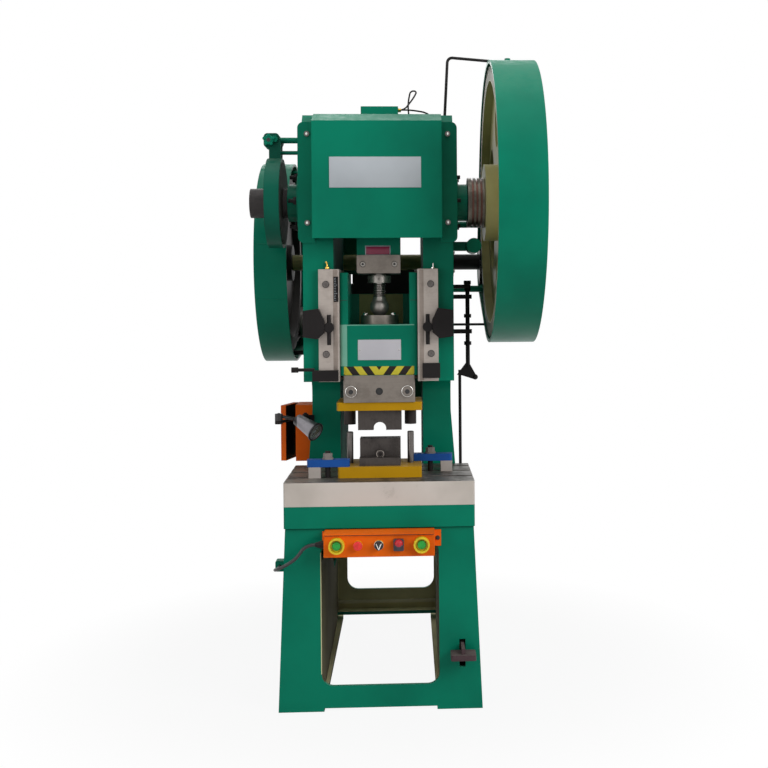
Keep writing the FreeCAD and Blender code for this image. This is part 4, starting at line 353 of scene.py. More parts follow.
def moulded(name, base, blotch, gloss, bump=0.1, emission=0.0):
    """Plastic, rubber or glassy enamel with a faint mottle."""
    material, tree, shader = new_material(name)
    mottle = noise(tree, 120.0)
    body = blend(tree, ramp(tree, mottle, 0.3, 0.8), colour(base), colour(blotch))
    cover_with(tree, shader, body, plus(tree, gloss, times(tree, mottle, 0.12)))
    set_relief(tree, shader, mottle, bump, 0.3, 0.8)
    shader.inputs["Emission Color"].default_value = colour(base)
    shader.inputs["Emission Strength"].default_value = emission
    return material


def stand_lit_faces(tree):
    """Mask of the stand's inner end faces, low tops and the left edge of its front window, which get painted
    light: a paler khaki, as if lit inside.
    """
    low = fall(tree, axes(tree, "Object")["Z"], 0.06, 0.055)
    low_top = times(tree, ramp(tree, axes(tree, "Normal")["Z"], 0.5, 0.6), low)
    return larger(tree, larger(tree, inward("Y", 0.46)(tree), low_top), WINDOW_EDGE_LIGHT(tree))


def bolster_steel():
    """Painted front and ends, ground top with a dark worn film of oil, paler on the left."""
    material, tree, shader = new_material("bolster_plate")
    film = paint_film(tree, OFF_WHITE, OFF_WHITE_SHADE, OFF_WHITE, 0.42)
    grain = metal_grain(tree, "6b6661", "2f2c2a", (14.0, 300.0, 300.0), 0.9, 0.34)
    facing, spot = axes(tree, "Normal"), axes(tree, "Object")
    front = times(tree, fall(tree, facing["Y"], -0.5, -0.6), fall(tree, spot["Y"], -0.49, -0.495))
    ends = ramp(tree, math_node(tree, "ABSOLUTE", facing["X"]), 0.5, 0.6)
    paint = larger(tree, front, ends)
    scuff = noise(tree, 16.0, 6.0, 0.75)
    pale_left = times(tree, fall(tree, spot["X"], -0.1, -0.22), ramp(tree, scuff, 0.38, 0.56))
    top = times(tree, ramp(tree, facing["Z"], 0.8, 0.9), pale_left)
    scuffed = times(tree, ramp(tree, scuff, 0.6, 0.68), 0.5)
    body = blend(tree, paint, grain["Colour"], film["Colour"])
    body = blend(tree, times(tree, top, 0.6), body, colour("a39d92"))
    body = blend(tree, times(tree, scuffed, paint), body, colour(OFF_WHITE_SHADE))
    body = blend(tree, times(tree, worn_edges(tree, 2.5, 0.25), 0.8), body, colour("5a5550"))
    bare = times(tree, math_node(tree, "SUBTRACT", 1.0, paint), 0.7)
    cover_with(tree, shader, body, grain["Roughness"], bare)
    set_relief(tree, shader, grain["Height"], 0.25, 0.15, 1.2)
    return material


def clutch_rings():
    """Dark turned drum whose groove floors show copper."""
    material, tree, shader = new_material("clutch_rings")
    grain = metal_grain(tree, "6a655c", "262422", (900.0, 20.0, 20.0), 0.6, 0.24)
    crest = outside_radius("clutch_hub", 73.5)(tree)
    body = blend(tree, crest, colour("5f4038"), grain["Colour"])
    cover_with(tree, shader, body, grain["Roughness"], 0.85)
    set_relief(tree, shader, grain["Height"], 0.3, 0.1, 0.8)
    return material


def chevron_tape():
    """Yellow and black slanting stripes that meet in a V at the middle."""
    material, tree, shader = new_material("chevron_tape")
    spot = axes(tree, "Object")
    period, slant, start = 45 * MM, 0.72, 10.25
    rise = times(tree, math_node(tree, "SUBTRACT", spot["Z"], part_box("slide")[0].z), slant)
    run = math_node(tree, "SUBTRACT", math_node(tree, "ABSOLUTE", spot["X"]), rise)
    share = math_node(tree, "FRACT", plus(tree, math_node(tree, "DIVIDE", run, period), start))
    scuff = noise(tree, 70.0, 5.0, 0.7)
    body = blend(tree, ramp(tree, share, 0.49, 0.51), colour("c9bd3a"), colour("1d1817"))
    body = blend(tree, times(tree, ramp(tree, scuff, 0.62, 0.72), 0.4), body, colour("7a745f"))
    cover_with(tree, shader, body, plus(tree, 0.4, times(tree, scuff, 0.2)))
    shader.inputs["Specular IOR Level"].default_value = 0.2
    return material


def bare_sheet(name, face, shade):
    """Bare sheet plate: satin face with faint cloudiness and rubbed edges."""
    material, tree, shader = new_material(name)
    film = paint_film(tree, face, shade, face, 0.28)
    body = blend(tree, worn_edges(tree, 1.0, 0.2), film["Colour"], colour(BARE_METAL))
    cover_with(tree, shader, body, film["Roughness"])
    set_relief(tree, shader, film["Height"], 0.1, 0.2, 0.6)
    return material


def clear_glass():
    material, tree, shader = new_material("lamp_glass")
    ripple = noise(tree, 160.0, 2.0)
    cover_with(tree, shader, colour("dfe8e6"), times(tree, ripple, 0.16))
    shader.inputs["Transmission Weight"].default_value = 0.9
    shader.inputs["IOR"].default_value = 1.45
    bump = wire(tree, "Bump", Height=ripple, Strength=0.3, Distance=0.5 * MM)
    feed(tree, shader.inputs["Normal"], bump.outputs[0])
    return material


# Zones of a node that get a finish of their own, in millimetres; FAR stands for no limit on that side.
FAR = 9000
UPPER_ROD = within((-FAR, -FAR, 1768), (345, FAR, FAR))
LOWER_STAY = within((-FAR, -FAR, -FAR), (FAR, FAR, 1200))
OIL_TUBES = within((62.5, -FAR, 0), (FAR, FAR, FAR))
STUD_ZONE = within((-174.5, -FAR, 0), (174.5, FAR, FAR))
NUT_ZONE = within((-174.5, -FAR, 729), (174.5, FAR, 749))
BUSHING_ZONE = within((-FAR, -FAR, 0), (FAR, FAR, 876.5))
# Inside of the cabinet, painted black as the shade seen through the door's gap.
CABINET_ROOM_SHADE = within((-281.5, -99, 686), (FAR, 23, 867))
LAMP_NECK = within((-FAR, -FAR, 0), (-262, FAR, FAR))
# The slide's left rounded edge and its top sill, painted pale as a highlight.
SLIDE_EDGE_HIGHLIGHT = within((-117, -421, 1011), (-95, -409, 1135.5))
SLIDE_SILL_HIGHLIGHT = within((-95, -421, 1132.5), (106, -419, 1135.5))
BOX_GLAND = within((-250, -FAR, 0), (FAR, FAR, FAR))
# The drive shaft's right end, painted black for the shade it sits in.
SHAFT_END_SHADE = within((190, -FAR, 0), (FAR, FAR, FAR))
# Pale strip on the window's cut edge: a painted highlight.
WINDOW_EDGE_LIGHT = within((-174.5, -491, 110), (-170, -477, 468))

# Paint, shade and gloss of such a zone.
# Black serves real black parts, and also painted shade inside the cabinet and at the drive shaft's end.
BLACK_PAINT_AND_SHADE = ("2c2a2a", "1d1b1b", 0.35)
BLACK_OXIDE = ("262323", "151313", 0.38)
# Darker green for the frame's inner faces: painted shade.
SHADED_INNER_GREEN = ("0a5243", "084337", 0.8)
# Pale green for the slide's edge and sill: a painted highlight.
SLIDE_HIGHLIGHT_GREEN = ("86c0aa", "5aa68d", 0.3)
# Darker khaki on the stand's inner side walls is painted shade; paler khaki on its rear faces is painted
# light.
SHADED_WALL = ("5a563f", "4a4733", 0.85)
LIT_WALL = ("e6dfae", "c9c291", 0.6)
GEAR_RIM = ("8b897a", "6d6b5e", 0.45)
BUSHINGS = ("4a4442", "2c2826", 0.35)
NUT_STEEL = ("8b8480", "5f5a56", 0.3)

FINISH = {
    "green": green("green_enamel"),
    # The frame's inner faces get a darker green as painted shade.
    "frame": green("frame_enamel", (inward("X", 0.12), *SHADED_INNER_GREEN)),
    # The stand's inner side walls get painted shade and its rear faces painted light.
    "stand": green("stand_enamel", (inward("X", 0.13), *SHADED_WALL), (stand_lit_faces, *LIT_WALL)),
    # Pale cream for the rear panel's ridges: a painted highlight.
    "ridge_highlight": painted("ridge_highlight_enamel", "f2ecca", "d6cfa6"),
    "green_gland": green("gland_enamel", (BOX_GLAND, *BLACK_PAINT_AND_SHADE)),
    # Darker green on the brake band: painted shade.
    "dark_green": painted("shaded_enamel", "065c49", "07503f"),
    "green_rod": green("bracket_enamel", (UPPER_ROD, *BLACK_PAINT_AND_SHADE), (LOWER_STAY, *BLACK_PAINT_AND_SHADE)),
    "green_tube": green("oiler_enamel", (OIL_TUBES, *BLACK_PAINT_AND_SHADE)),
    "khaki": painted("khaki_enamel", "b9b37c", "9c9560", wear=0.05,
                     other=((outside_radius("big_gear", 372), *GEAR_RIM),)),
    "shaft_khaki": painted("shaft_enamel", "b5ae76", "938c5c", wear=0.05, other=((SHAFT_END_SHADE, *BLACK_PAINT_AND_SHADE),)),
    # The slide's left edge and sill carry a painted highlight.
    "slide": green("slide_enamel", (SLIDE_EDGE_HIGHLIGHT, *SLIDE_HIGHLIGHT_GREEN), (SLIDE_SILL_HIGHLIGHT, *SLIDE_HIGHLIGHT_GREEN)),
    "orange": painted("orange_enamel", ORANGE, ORANGE_SHADE, wear=0.06, dust=ORANGE),
    "cabinet": painted("cabinet_enamel", ORANGE, ORANGE_SHADE, wear=0.06, dust=ORANGE,
                       other=((CABINET_ROOM_SHADE, *BLACK_PAINT_AND_SHADE),)),
    "yellow": painted("die_enamel", DIE_YELLOW, DIE_YELLOW_SHADE, wear=0.2, bare=DIE_BARE),
    "yellow_bushed": painted("upper_die_enamel", DIE_YELLOW, DIE_YELLOW_SHADE, wear=0.2, bare=DIE_BARE,
                             other=((BUSHING_ZONE, *BUSHINGS),)),
    "blue": painted("clamp_enamel", "1f55a4", "163b70", gloss=0.2, wear=0.12),
    "pedal": painted("pedal_enamel", "5d4a4e", "3f3335", gloss=0.5, wear=0.2),
    "motor": painted("motor_enamel", "2c3a38", "202a29", wear=0.06),
    "black": painted("black_oxide", *BLACK_OXIDE, wear=0.08, bare="5b5551"),
    "pale_riser": painted("riser_steel", "b4aca6", "958d86", gloss=0.38, wear=0.08,
                          other=((STUD_ZONE, *BLACK_OXIDE), (NUT_ZONE, *NUT_STEEL))),
    "bolster": bolster_steel(),
    "gib": ground_metal("gib_steel", "b3a9a1", "877d75", (40.0, 40.0, 500.0), 0.4, 0.36, 0.55),
    "strip": ground_metal("strip_steel", "93877e", "6c6057", (40.0, 40.0, 500.0), 0.4, 0.4, 0.5),
    "steel": ground_metal("cap_steel", "827a72", "5e564f", (16.0, 300.0, 300.0), 0.5, 0.32, 0.6),
    "screw": ground_metal("screw_steel", "8b837c", "5f5852", (60.0, 60.0, 60.0), 0.5, 0.3, 0.7),
    "turned": ground_metal("turned_steel", "a39e98", "5d5753", (30.0, 30.0, 900.0), 0.4, 0.25, 0.7),
    "posts": ground_metal("post_steel", "6c6764", "3c3836", (30.0, 30.0, 900.0), 0.5, 0.2, 0.85),
    "dark_steel": ground_metal("die_steel", "48423f", "2b2725", (300.0, 300.0, 30.0), 0.7, 0.36, 0.6),
    "shaft": ground_metal("shaft_steel", "2c2726", "191716", (900.0, 30.0, 30.0), 0.7, 0.45, 0.3),
    "bright": ground_metal("bright_steel", "d8d5d1", "8a8683", (300.0, 300.0, 30.0), 0.3, 0.14, 1.0),
    "brass": ground_metal("brass", "c9a24e", "8a6a2c", (60.0, 60.0, 900.0), 0.4, 0.22, 1.0),
    "lamp_shell": ground_metal("lamp_shell", "8d8a8e", "67646a", (60.0, 60.0, 60.0), 0.3, 0.3, 0.8,
                               black=LAMP_NECK),
    "iron": oiled_iron(),
    "clutch": clutch_rings(),
    "rubber": moulded("black_rubber", "1d1c1c", "2a2928", 0.55, 0.3),
    "grey_plastic": moulded("grey_plastic", "39353f", "2c2932", 0.35),
    "black_plastic": moulded("black_plastic", "1a1a1b", "242324", 0.3),
    "ring_yellow": moulded("yellow_plastic", "ecd424", "d9b31b", 0.3),
    "green_button": moulded("green_plastic", "1fae3a", "148a2c", 0.22),
    # The stop button's faint glow is painted light.
    "red_button": moulded("red_plastic", "e8302f", "c22422", 0.3, emission=0.12),
    "red_lens": moulded("red_lens", "c81527", "8f0d1c", 0.12, 0.05, 0.2),
    "glass": clear_glass(),
    "white_plate": bare_sheet("white_plate", "bac0c5", "aeb4b9"),
    "pale_plate": bare_sheet("pale_plate", "cbc9ce", "bdbbc1"),
    "red_plate": bare_sheet("red_plate", "a02c52", "7f2040"),
    "tape": chevron_tape(),
}

NODE_FINISH = {
    "slide": "slide",
    "green": "front_cover gear_guard belt_guard con_rod brake_anchor bearing_flanges",
    "green_gland": "cable_glands",
    "dark_green": "brake_band",
    "frame": "c_frame",
    "green_rod": "guard_bracket",
    "green_tube": "lubricator",
    "stand": "base_stand",
    "khaki": "big_gear",
    "shaft_khaki": "drive_shaft",
    "orange": "control_box",
    "cabinet": "electric_cabinet cabinet_door",
    "yellow": "lower_die_plate",
    "yellow_bushed": "upper_die_plate",
    "blue": "clamp_bars",
    "pedal": "foot_pedal",
    "motor": "motor",
    "black": "knockout_brackets trip_rod trip_bracket stroke_scale motor_plate lamp_arm lamp_foot pedal_link",
    "pale_riser": "clamp_studs",
    "bolster": "bolster",
    "gib": "gibs",
    "steel": "shank_block rod_cap ball_seat",
    "screw": "shank_screws",
    "turned": "ball_screw capstan_nut motor_pulley",
    "posts": "guide_posts frame_screws",
    "dark_steel": "upper_die lower_die",
    "shaft": "crankshaft pivot_pins tilt_bolts",
    "iron": "flywheel brake_drum",
    "clutch": "clutch_hub",
    "rubber": "v_belts control_cable",
    "grey_plastic": "indicator_switch",
    "black_plastic": "selector_knob",
    "ring_yellow": "button_rings",
    "green_button": "palm_button_left palm_button_right",
    "red_button": "stop_button",
    "lamp_shell": "lamp_head",
}


def dress_frame():
    """Give each CAD node its finish, with curved walls shaded smooth."""
    for finish, names in NODE_FINISH.items():
        for name in names.split():
            node = NODES[name]
            node.data.materials.clear()
            node.data.materials.append(FINISH[finish])
            if "custom_normal" in node.data.attributes:
                node.data.attributes.remove(node.data.attributes["custom_normal"])
            for face in node.data.polygons:
                face.use_smooth = True
                face.material_index = 0
            weld = node.modifiers.new("weld", "WELD")
            weld.merge_threshold = WELD_GAP
            split = node.modifiers.new("crease", "EDGE_SPLIT")
            split.split_angle = math.radians(CREASE_ANGLE)


# --------------------------------------------------------------- mesh helpers
def soften(bm, edges, bevel):
    """Round edges, the width in millimetres."""
    bmesh.ops.bevel(bm, geom=list(edges), offset=bevel * MM, offset_type="OFFSET", segments=2, profile=0.5,
                    affect="EDGES", material=-1, clamp_overlap=True)


def edges_of(verts):
    return {edge for vert in verts for edge in vert.link_edges}


def turn_to(direction):
    return Vector((0, 0, 1)).rotation_difference(Vector(direction)).to_matrix().to_4x4()


def block(bm, low, high, bevel=0.0):
    """Add a box between two corners, in millimetres, its edges rounded."""
    low, high = Vector(low) * MM, Vector(high) * MM
    made = bmesh.ops.create_cube(bm, size=1.0)["verts"]
    bmesh.ops.scale(bm, vec=high - low, verts=made)
    bmesh.ops.translate(bm, vec=(low + high) / 2, verts=made)
    if bevel:
        soften(bm, edges_of(made), bevel)


def swung(bm, pivot, degrees, make, *values):
    """Add a shape and turn it about an upright axis."""
    before = set(bm.verts)
    make(bm, *values)
    made = [vert for vert in bm.verts if vert not in before]
    bmesh.ops.rotate(bm, cent=Vector(pivot) * MM, matrix=Matrix.Rotation(math.radians(degrees), 3, "Z"),
                     verts=made)


def drum(bm, start, direction, length, radius, end_radius=None, sides=32, bevel=0.0):
    """Add a round or many-sided bar from a point, in millimetres, its end edges rounded."""
    direction = Vector(direction).normalized()
    middle = (Vector(start) + direction * length / 2) * MM
    place = Matrix.Translation(middle) @ turn_to(direction)
    end_radius = radius if end_radius is None else end_radius
    made = bmesh.ops.create_cone(bm, cap_ends=True, cap_tris=False, segments=sides, radius1=radius * MM,
                                 radius2=end_radius * MM, depth=length * MM, matrix=place)["verts"]
    if bevel:
        rims = [edge for edge in edges_of(made) if any(len(face.verts) == sides for face in edge.link_faces)]
        soften(bm, rims, bevel)


def ball(bm, middle, radius):
    bmesh.ops.create_uvsphere(bm, u_segments=24, v_segments=16, radius=radius * MM,
                              matrix=Matrix.Translation(Vector(middle) * MM))


def hex_bolt(bm, spot, direction, size):
    """Add a washer and a hexagonal head on a face, size being the thread in millimetres."""
    spot, direction = Vector(spot), Vector(direction).normalized()
    drum(bm, spot, direction, 0.2 * size, 1.1 * size, None, 24, 0.05 * size)
    drum(bm, spot + direction * 0.2 * size, direction, 0.62 * size, 0.95 * size, None, 6, 0.08 * size)


def socket_screw(bm, spot, direction, size):
    """Add a socket head screw on a face, its hexagonal recess facing out."""
    direction = Vector(direction).normalized()
    drum(bm, spot, direction, size, 0.75 * size, None, 24, 0.1 * size)
    top = Vector(spot) + direction * size
    bm.faces.ensure_lookup_table()
    cap = min((f for f in bm.faces if f.normal.dot(direction) > 0.99),
              key=lambda f: (f.calc_center_median() - top * MM).length)
    bmesh.ops.inset_individual(bm, faces=[cap], thickness=0.3 * size * MM)
    pushed = bmesh.ops.extrude_discrete_faces(bm, faces=[cap])["faces"]
    bmesh.ops.translate(bm, vec=direction * (-0.5 * size * MM), verts=list(pushed[0].verts))


def hoop(bm, middle, axis, radius, thickness, steps=48, sides=8):
    """Add a round ring about an axis, in millimetres."""
    place = Matrix.Translation(Vector(middle) * MM) @ turn_to(axis)
    section = place @ Matrix.Translation((radius * MM, 0, 0)) @ Matrix.Rotation(math.pi / 2, 4, "X")
    made = bmesh.ops.create_circle(bm, cap_ends=False, segments=sides, radius=thickness * MM,
                                   matrix=section)["verts"]
    bmesh.ops.spin(bm, geom=made + list(edges_of(made)), cent=place.translation,
                   axis=Vector(axis).normalized(), dvec=(0, 0, 0), angle=2 * math.pi, steps=steps,
                   use_merge=True, use_duplicate=False)


def coil(bm, start, direction, length, radius, wire_radius, turns, steps=20):
    """Add a spring: a wire section spun round its axis while it moves along it."""
    direction = Vector(direction).normalized()
    place = Matrix.Translation(Vector(start) * MM) @ turn_to(direction)
    side = place.to_3x3() @ Vector((radius * MM, 0, 0))
    section = Matrix.Translation(place.translation + side) @ turn_to(place.to_3x3() @ Vector((0, 1, 0)))
    ring = bmesh.ops.create_circle(bm, cap_ends=False, segments=8, radius=wire_radius * MM,
                                   matrix=section)["verts"]
    bmesh.ops.spin(bm, geom=ring + list(edges_of(ring)), cent=place.translation, axis=direction,
                   dvec=direction * (length * MM / (turns * steps)), angle=2 * math.pi * turns,
                   steps=turns * steps, use_merge=False, use_duplicate=False)
    holes = [edge for edge in bm.edges if edge.is_boundary]
    bmesh.ops.holes_fill(bm, edges=holes, sides=0)


def bead(bm, x, first, radius, second, nose, thick, steps=64, sides=8):
    """Add a weld bead round the edge of a guard's side sheet: two arcs joined by tangents."""
    away = Vector((0, second[0] - first[0], second[1] - first[1]))
    lean = math.asin((radius - nose) / away.length)
    heading = math.atan2(away.z, away.y)
    points = []
    for (y, z), reach, start, turn in ((first, radius, heading + math.pi / 2 - lean, math.pi + 2 * lean),
                                       (second, nose, heading - math.pi / 2 + lean, math.pi - 2 * lean)):
        for number in range(steps + 1):
            angle = start + turn * number / steps
            points.append(Vector((x, y + reach * math.cos(angle), z + reach * math.sin(angle))))
    across = Vector((1, 0, 0))
    angles = [2 * math.pi * step / sides for step in range(sides)]
    rings = []
    for number, point in enumerate(points):
        along = (points[(number + 1) % len(points)] - points[number - 1]).normalized()
        out = across.cross(along)
        spokes = [across * math.cos(a) + out * math.sin(a) for a in angles]
        rings.append([bm.verts.new((point + spoke * thick) * MM) for spoke in spokes])
    for near, far in zip(rings, rings[1:] + rings[:1]):
        for step in range(sides):
            bm.faces.new((near[step], near[step - 1], far[step - 1], far[step]))


def around(middle, radius, count, start=0.0):
    """Points on a circle in the Y-Z plane, in millimetres."""
    angles = [math.radians(start + 360 * number / count) for number in range(count)]
    return [(middle[0], middle[1] + radius * math.cos(a), middle[2] + radius * math.sin(a)) for a in angles]


def grid(xs, ys, zs):
    return [(x, y, z) for x in xs for y in ys for z in zs]


def both(distance):
    """The same distance on either side of the middle."""
    return -distance, distance


def row(make, spots, *values):
    """The same shape at several places."""
    return [(make, spot, *values) for spot in spots]


def piece(name, body, finish, slot, *shapes):
    """Make an object at the origin from shapes, each a helper and its values, that rides on a body."""
    bm = bmesh.new()
    for make, *values in shapes:
        make(bm, *values)
    bmesh.ops.recalc_face_normals(bm, faces=list(bm.faces))
    mesh = bpy.data.meshes.new(name)
    bm.to_mesh(mesh)
    bm.free()
    for face in mesh.polygons:
        face.use_smooth = True
    mesh.set_sharp_from_angle(angle=math.radians(SHARP_ANGLE))
    mesh.materials.append(FINISH[finish])
    thing = bpy.data.objects.new(name, mesh)
    bpy.context.scene.collection.objects.link(thing)
    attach(thing, body)


def corner(node, end):
    """Low (0) or high (1) corner of a CAD node, in millimetres."""
    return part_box(node)[end] / MM


# ------------------------------------------------------------------ the cable
CABLE_ROUTE = ((-186, -528, 500), (-214, -528, 500), (-240, -530, 461), (-270, -530, 442),
               (-296, -520, 428), (-309, -492, 420), (-302, -456, 413), (-302, -414, 413))
CABLE_DIAMETER = 10


def control_cable():
    curve = bpy.data.curves.new("cable", "CURVE")
    curve.dimensions = "3D"
    spline = curve.splines.new("NURBS")
    spline.points.add(len(CABLE_ROUTE) - 1)
    for point, spot in zip(spline.points, CABLE_ROUTE):
        point.co = (*(Vector(spot) * MM), 1.0)
    spline.order_u = 3
    spline.use_endpoint_u = True
    spline.resolution_u = 16
    curve.bevel_depth = CABLE_DIAMETER / 2 * MM
    curve.bevel_resolution = 6
    curve.use_fill_caps = True
    curve.materials.append(FINISH["black_plastic"])
    cable = bpy.data.objects.new("cable", curve)
    bpy.context.scene.collection.objects.link(cable)
    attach(cable, "base")
    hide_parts("control_cable")


# ------------------------------------------------------------- camera, lights
def camera():
    """Fitted to the photograph: eye point, turn, small shift."""
    data = bpy.data.cameras.new("camera")
    data.lens = 52.65
    data.sensor_width = 36.0
    data.shift_x, data.shift_y = -0.10, -0.0891
    data.clip_end = 60.0
    eye = bpy.data.objects.new("camera", data)
    yaw, pitch, roll = (math.radians(angle) for angle in (2.72, 0.59, -0.40))
    turn = Matrix.Rotation(-yaw, 4, "Z") @ Matrix.Rotation(math.pi / 2 - pitch, 4, "X") @ \
        Matrix.Rotation(roll, 4, "Z")
    eye.matrix_world = Matrix.Translation((0.086, -3.793, 1.195)) @ turn
    bpy.context.scene.collection.objects.link(eye)
    bpy.context.scene.camera = eye


def lamp(name, spot, aim, size, power):
    data = bpy.data.lights.new(name, "AREA")
    data.shape = "RECTANGLE"
    data.size, data.size_y = size
    data.energy = power
    light = bpy.data.objects.new(name, data)
    look = (Vector(aim) - Vector(spot)).normalized()
    light.matrix_world = Matrix.Translation(spot) @ look.to_track_quat("-Z", "Y").to_matrix().to_4x4()
    bpy.context.scene.collection.objects.link(light)


def shows_backdrop(tree):
    """1 for rays that show the backdrop: straight, off metal or through glass."""
    rays = tree.nodes.new("ShaderNodeLightPath")
    seen = larger(tree, rays.outputs["Is Camera Ray"], rays.outputs["Is Glossy Ray"])
    return larger(tree, seen, rays.outputs["Is Transmission Ray"])


def studio():
    """Soft light from a pale room, and a floor that stays white past the part's shadow."""
    scene = bpy.context.scene
    scene.view_settings.view_transform = "Standard"
    world = bpy.data.worlds.new("studio")
    scene.world = world
    world.use_nodes = True
    tree = world.node_tree
    tree.nodes.clear()
    soft = wire(tree, "Background", Color=(0.92, 0.93, 0.95, 1.0), Strength=0.31)
    white = wire(tree, "Background", Color=WHITE, Strength=1.0)
    mix = wire(tree, "MixShader", Fac=shows_backdrop(tree), n1=soft.outputs[0], n2=white.outputs[0])
    wire(tree, "OutputWorld", Surface=mix.outputs[0])
    lamp("key", (3.0, -2.9, 2.5), (0.1, -0.2, 1.0), (2.2, 2.2), 96)
    lamp("fill", (-3.0, -3.0, 1.6), (0, 0, 0.9), (2.4, 2.4), 31)
    lamp("top", (0.0, -1.0, 4.2), (0, 0, 1.0), (3.0, 3.0), 37)
    lamp("back", (-0.5, 3.6, 3.6), (0, 0, 0.8), (2.6, 2.0), 40)
    material, tree, shader = new_material("studio_floor")
    cover_with(tree, shader, blend(tree, noise(tree, 1.5), colour("bcbcbb"), colour("b2b2b1")), 0.9)
    shader.inputs["Specular IOR Level"].default_value = 0.0
    away = times(tree, ramp(tree, vector_node(tree, "LENGTH", place_on(tree)), 0.6, 1.7), 0.12)
    blank = times(tree, shows_backdrop(tree), plus(tree, away, 0.92))
    glow = wire(tree, "Emission", Color=WHITE, Strength=1.0)
    faded = wire(tree, "MixShader", Fac=blank, n1=shader.outputs[0], n2=glow.outputs[0])
    feed(tree, tree.nodes["Material Output"].inputs["Surface"], faded.outputs[0])
    bm = bmesh.new()
    bmesh.ops.create_grid(bm, x_segments=4, y_segments=4, size=20.0)
    mesh = bpy.data.meshes.new("floor")
    bm.to_mesh(mesh)
    bm.free()
    mesh.materials.append(material)
    floor = bpy.data.objects.new("floor", mesh)
    scene.collection.objects.link(floor)


# ------------------------------------------------------------ places on the part
FRONT, LEFT, RIGHT, UP = (0, -1, 0), (-1, 0, 0), (1, 0, 0), (0, 0, 1)
CRANK = (-315.0, 1508.0)     # Y and Z of the crank's axis
DRIVE = (135.4, 1342.0)      # of the drive shaft's
MOTOR = (530.0, 1130.0)      # of the motor's
GIB_SCREW = 156              # X of the gibs' screws on either side
CAP_SCREW = 48               # of the rod cap's
SHANK_STUD = 84              # of the shank's studs
SHANK_Z = 935
COVER_SCREWS = ((-210, 210), (-427,), (1440, 1705))


def bare_plates():
    """Unprinted plates where the machine carries its signs, tape and the stroke scale's lines."""
    front = corner("front_cover", 0).y
    piece("head_plate", "frame", "white_plate", "green_paint",
          (block, (-139, front - 1.6, 1537), (129, front, 1627), 0.5))
    face, foot, half = corner("slide", 0).y, corner("slide", 0).z, corner("slide", 1).x - 11
    piece("slide_plate", "slide", "pale_plate", "green_paint",
          (block, (-63, face - 1.2, 1029), (66, face, 1090), 0.4))
    piece("slide_plate_rivets", "slide", "bright", "machined_steel",
          *row(drum, grid((-57, 60), [face - 1.2], [1059]), FRONT, 1.2, 2.2, 1.4, 16))
    piece("slide_tape", "slide", "tape", "green_paint",
          (block, (-half, face - 0.6, foot + 1), (half, face, foot + 27), 0.2))
    rod_face = corner("rod_cap", 0).y + 12
    piece("rod_plate", "con_rod", "red_plate", "green_paint",
          (block, (-38, rod_face - 1.2, 1347), (33, rod_face, 1371), 0.4))
    piece("rod_plate_rim", "con_rod", "white_plate", "machined_steel",
          (block, (-41, rod_face - 0.6, 1345.5), (36, rod_face, 1374), 0.2))
    low, high = corner("stroke_scale", 0), corner("stroke_scale", 1)
    marks, pitch = [], 5
    for number in range(1, int((high.z - low.z) / pitch)):
        reach, z = 9 if number % 5 == 0 else 5.5, low.z + pitch * number
        marks.append((block, (low.x + 2, low.y - 0.25, z - 0.45), (low.x + 2 + reach, low.y, z + 0.45)))
    piece("scale_marks", "frame", "white_plate", "machined_steel", *marks)


def slide_details():
    """Oil nipple and pin on the gibs, their strips and screws, and what shows on the slide and its rod."""
    low, high = corner("gibs", 0), corner("gibs", 1)
    y = low.y + 12
    piece("gib_nipple", "frame", "brass", "machined_steel",
          (drum, (-152, y, high.z), UP, 7, 6.5, None, 6, 0.6),
          (drum, (-152, y, high.z + 7), UP, 9, 3.6, 2.6, 20),
          (drum, (-152, y, high.z + 16), (-0.5, 0, 1), 8, 2.6, 3.4, 20, 0.5))
    piece("gib_pin", "frame", "bright", "machined_steel",
          (drum, (164, y, high.z), UP, 5, 6, None, 6, 0.5),
          (drum, (164, y, high.z + 5), UP, 12, 2.4, 2.0, 16))
    piece("gib_strips", "frame", "strip", "machined_steel",
          *((block, (x - 6.5, low.y - 0.5, low.z + 2), (x + 6.5, low.y, high.z - 2), 0.2) for x in both(128)))
    heights = low.z + 82, high.z - 45
    piece("gib_screw_sockets", "frame", "rubber", "black_oxide",
          *row(drum, grid(both(GIB_SCREW), [low.y - 1.3], heights), FRONT, 0.6, 4.4, None, 6),
          *row(hoop, grid(both(GIB_SCREW), [low.y], heights), FRONT, 9.6, 1.0, 40))
    rear, front = corner("slide", 1).y - 15, corner("slide", 0).y
    piece("slide_liner", "slide", "shaft_khaki", "khaki_paint",
          (block, (-66, rear - 1.5, 1135), (72, rear, 1228), 0.5))
    piece("slide_joints", "slide", "black_plastic", "black_oxide",
          *((block, (x - 11, front - 0.3, 1207.5), (x + 11, front, 1209)) for x in both(104)))
    threads = [(0, CRANK[0], 1256 - 7 * number) for number in range(6)]
    piece("screw_thread", "con_rod", "posts", "machined_steel", *row(hoop, threads, UP, 16.6, 2.4, 40))
    cap = corner("rod_cap", 0)
    middle = (cap.z + corner("rod_cap", 1).z) / 2
    # Black hexagons in the cap screws' recesses: painted shade.
    piece("cap_socket_shade", "con_rod", "rubber", "black_oxide",
          *row(drum, grid(both(CAP_SCREW), [cap.y + 7], [middle]), FRONT, 3, 6, None, 6))
    piece("cap_screws", "con_rod", "turned", "machined_steel",
          *row(socket_screw, grid(both(CAP_SCREW), [cap.y + 13], [middle]), FRONT, 10.5))
    seats = grid(both(43), (-345, -285), [corner("ball_seat", 1).z])
    piece("seat_bolts", "slide", "bright", "machined_steel", *row(hex_bolt, seats, UP, 8))


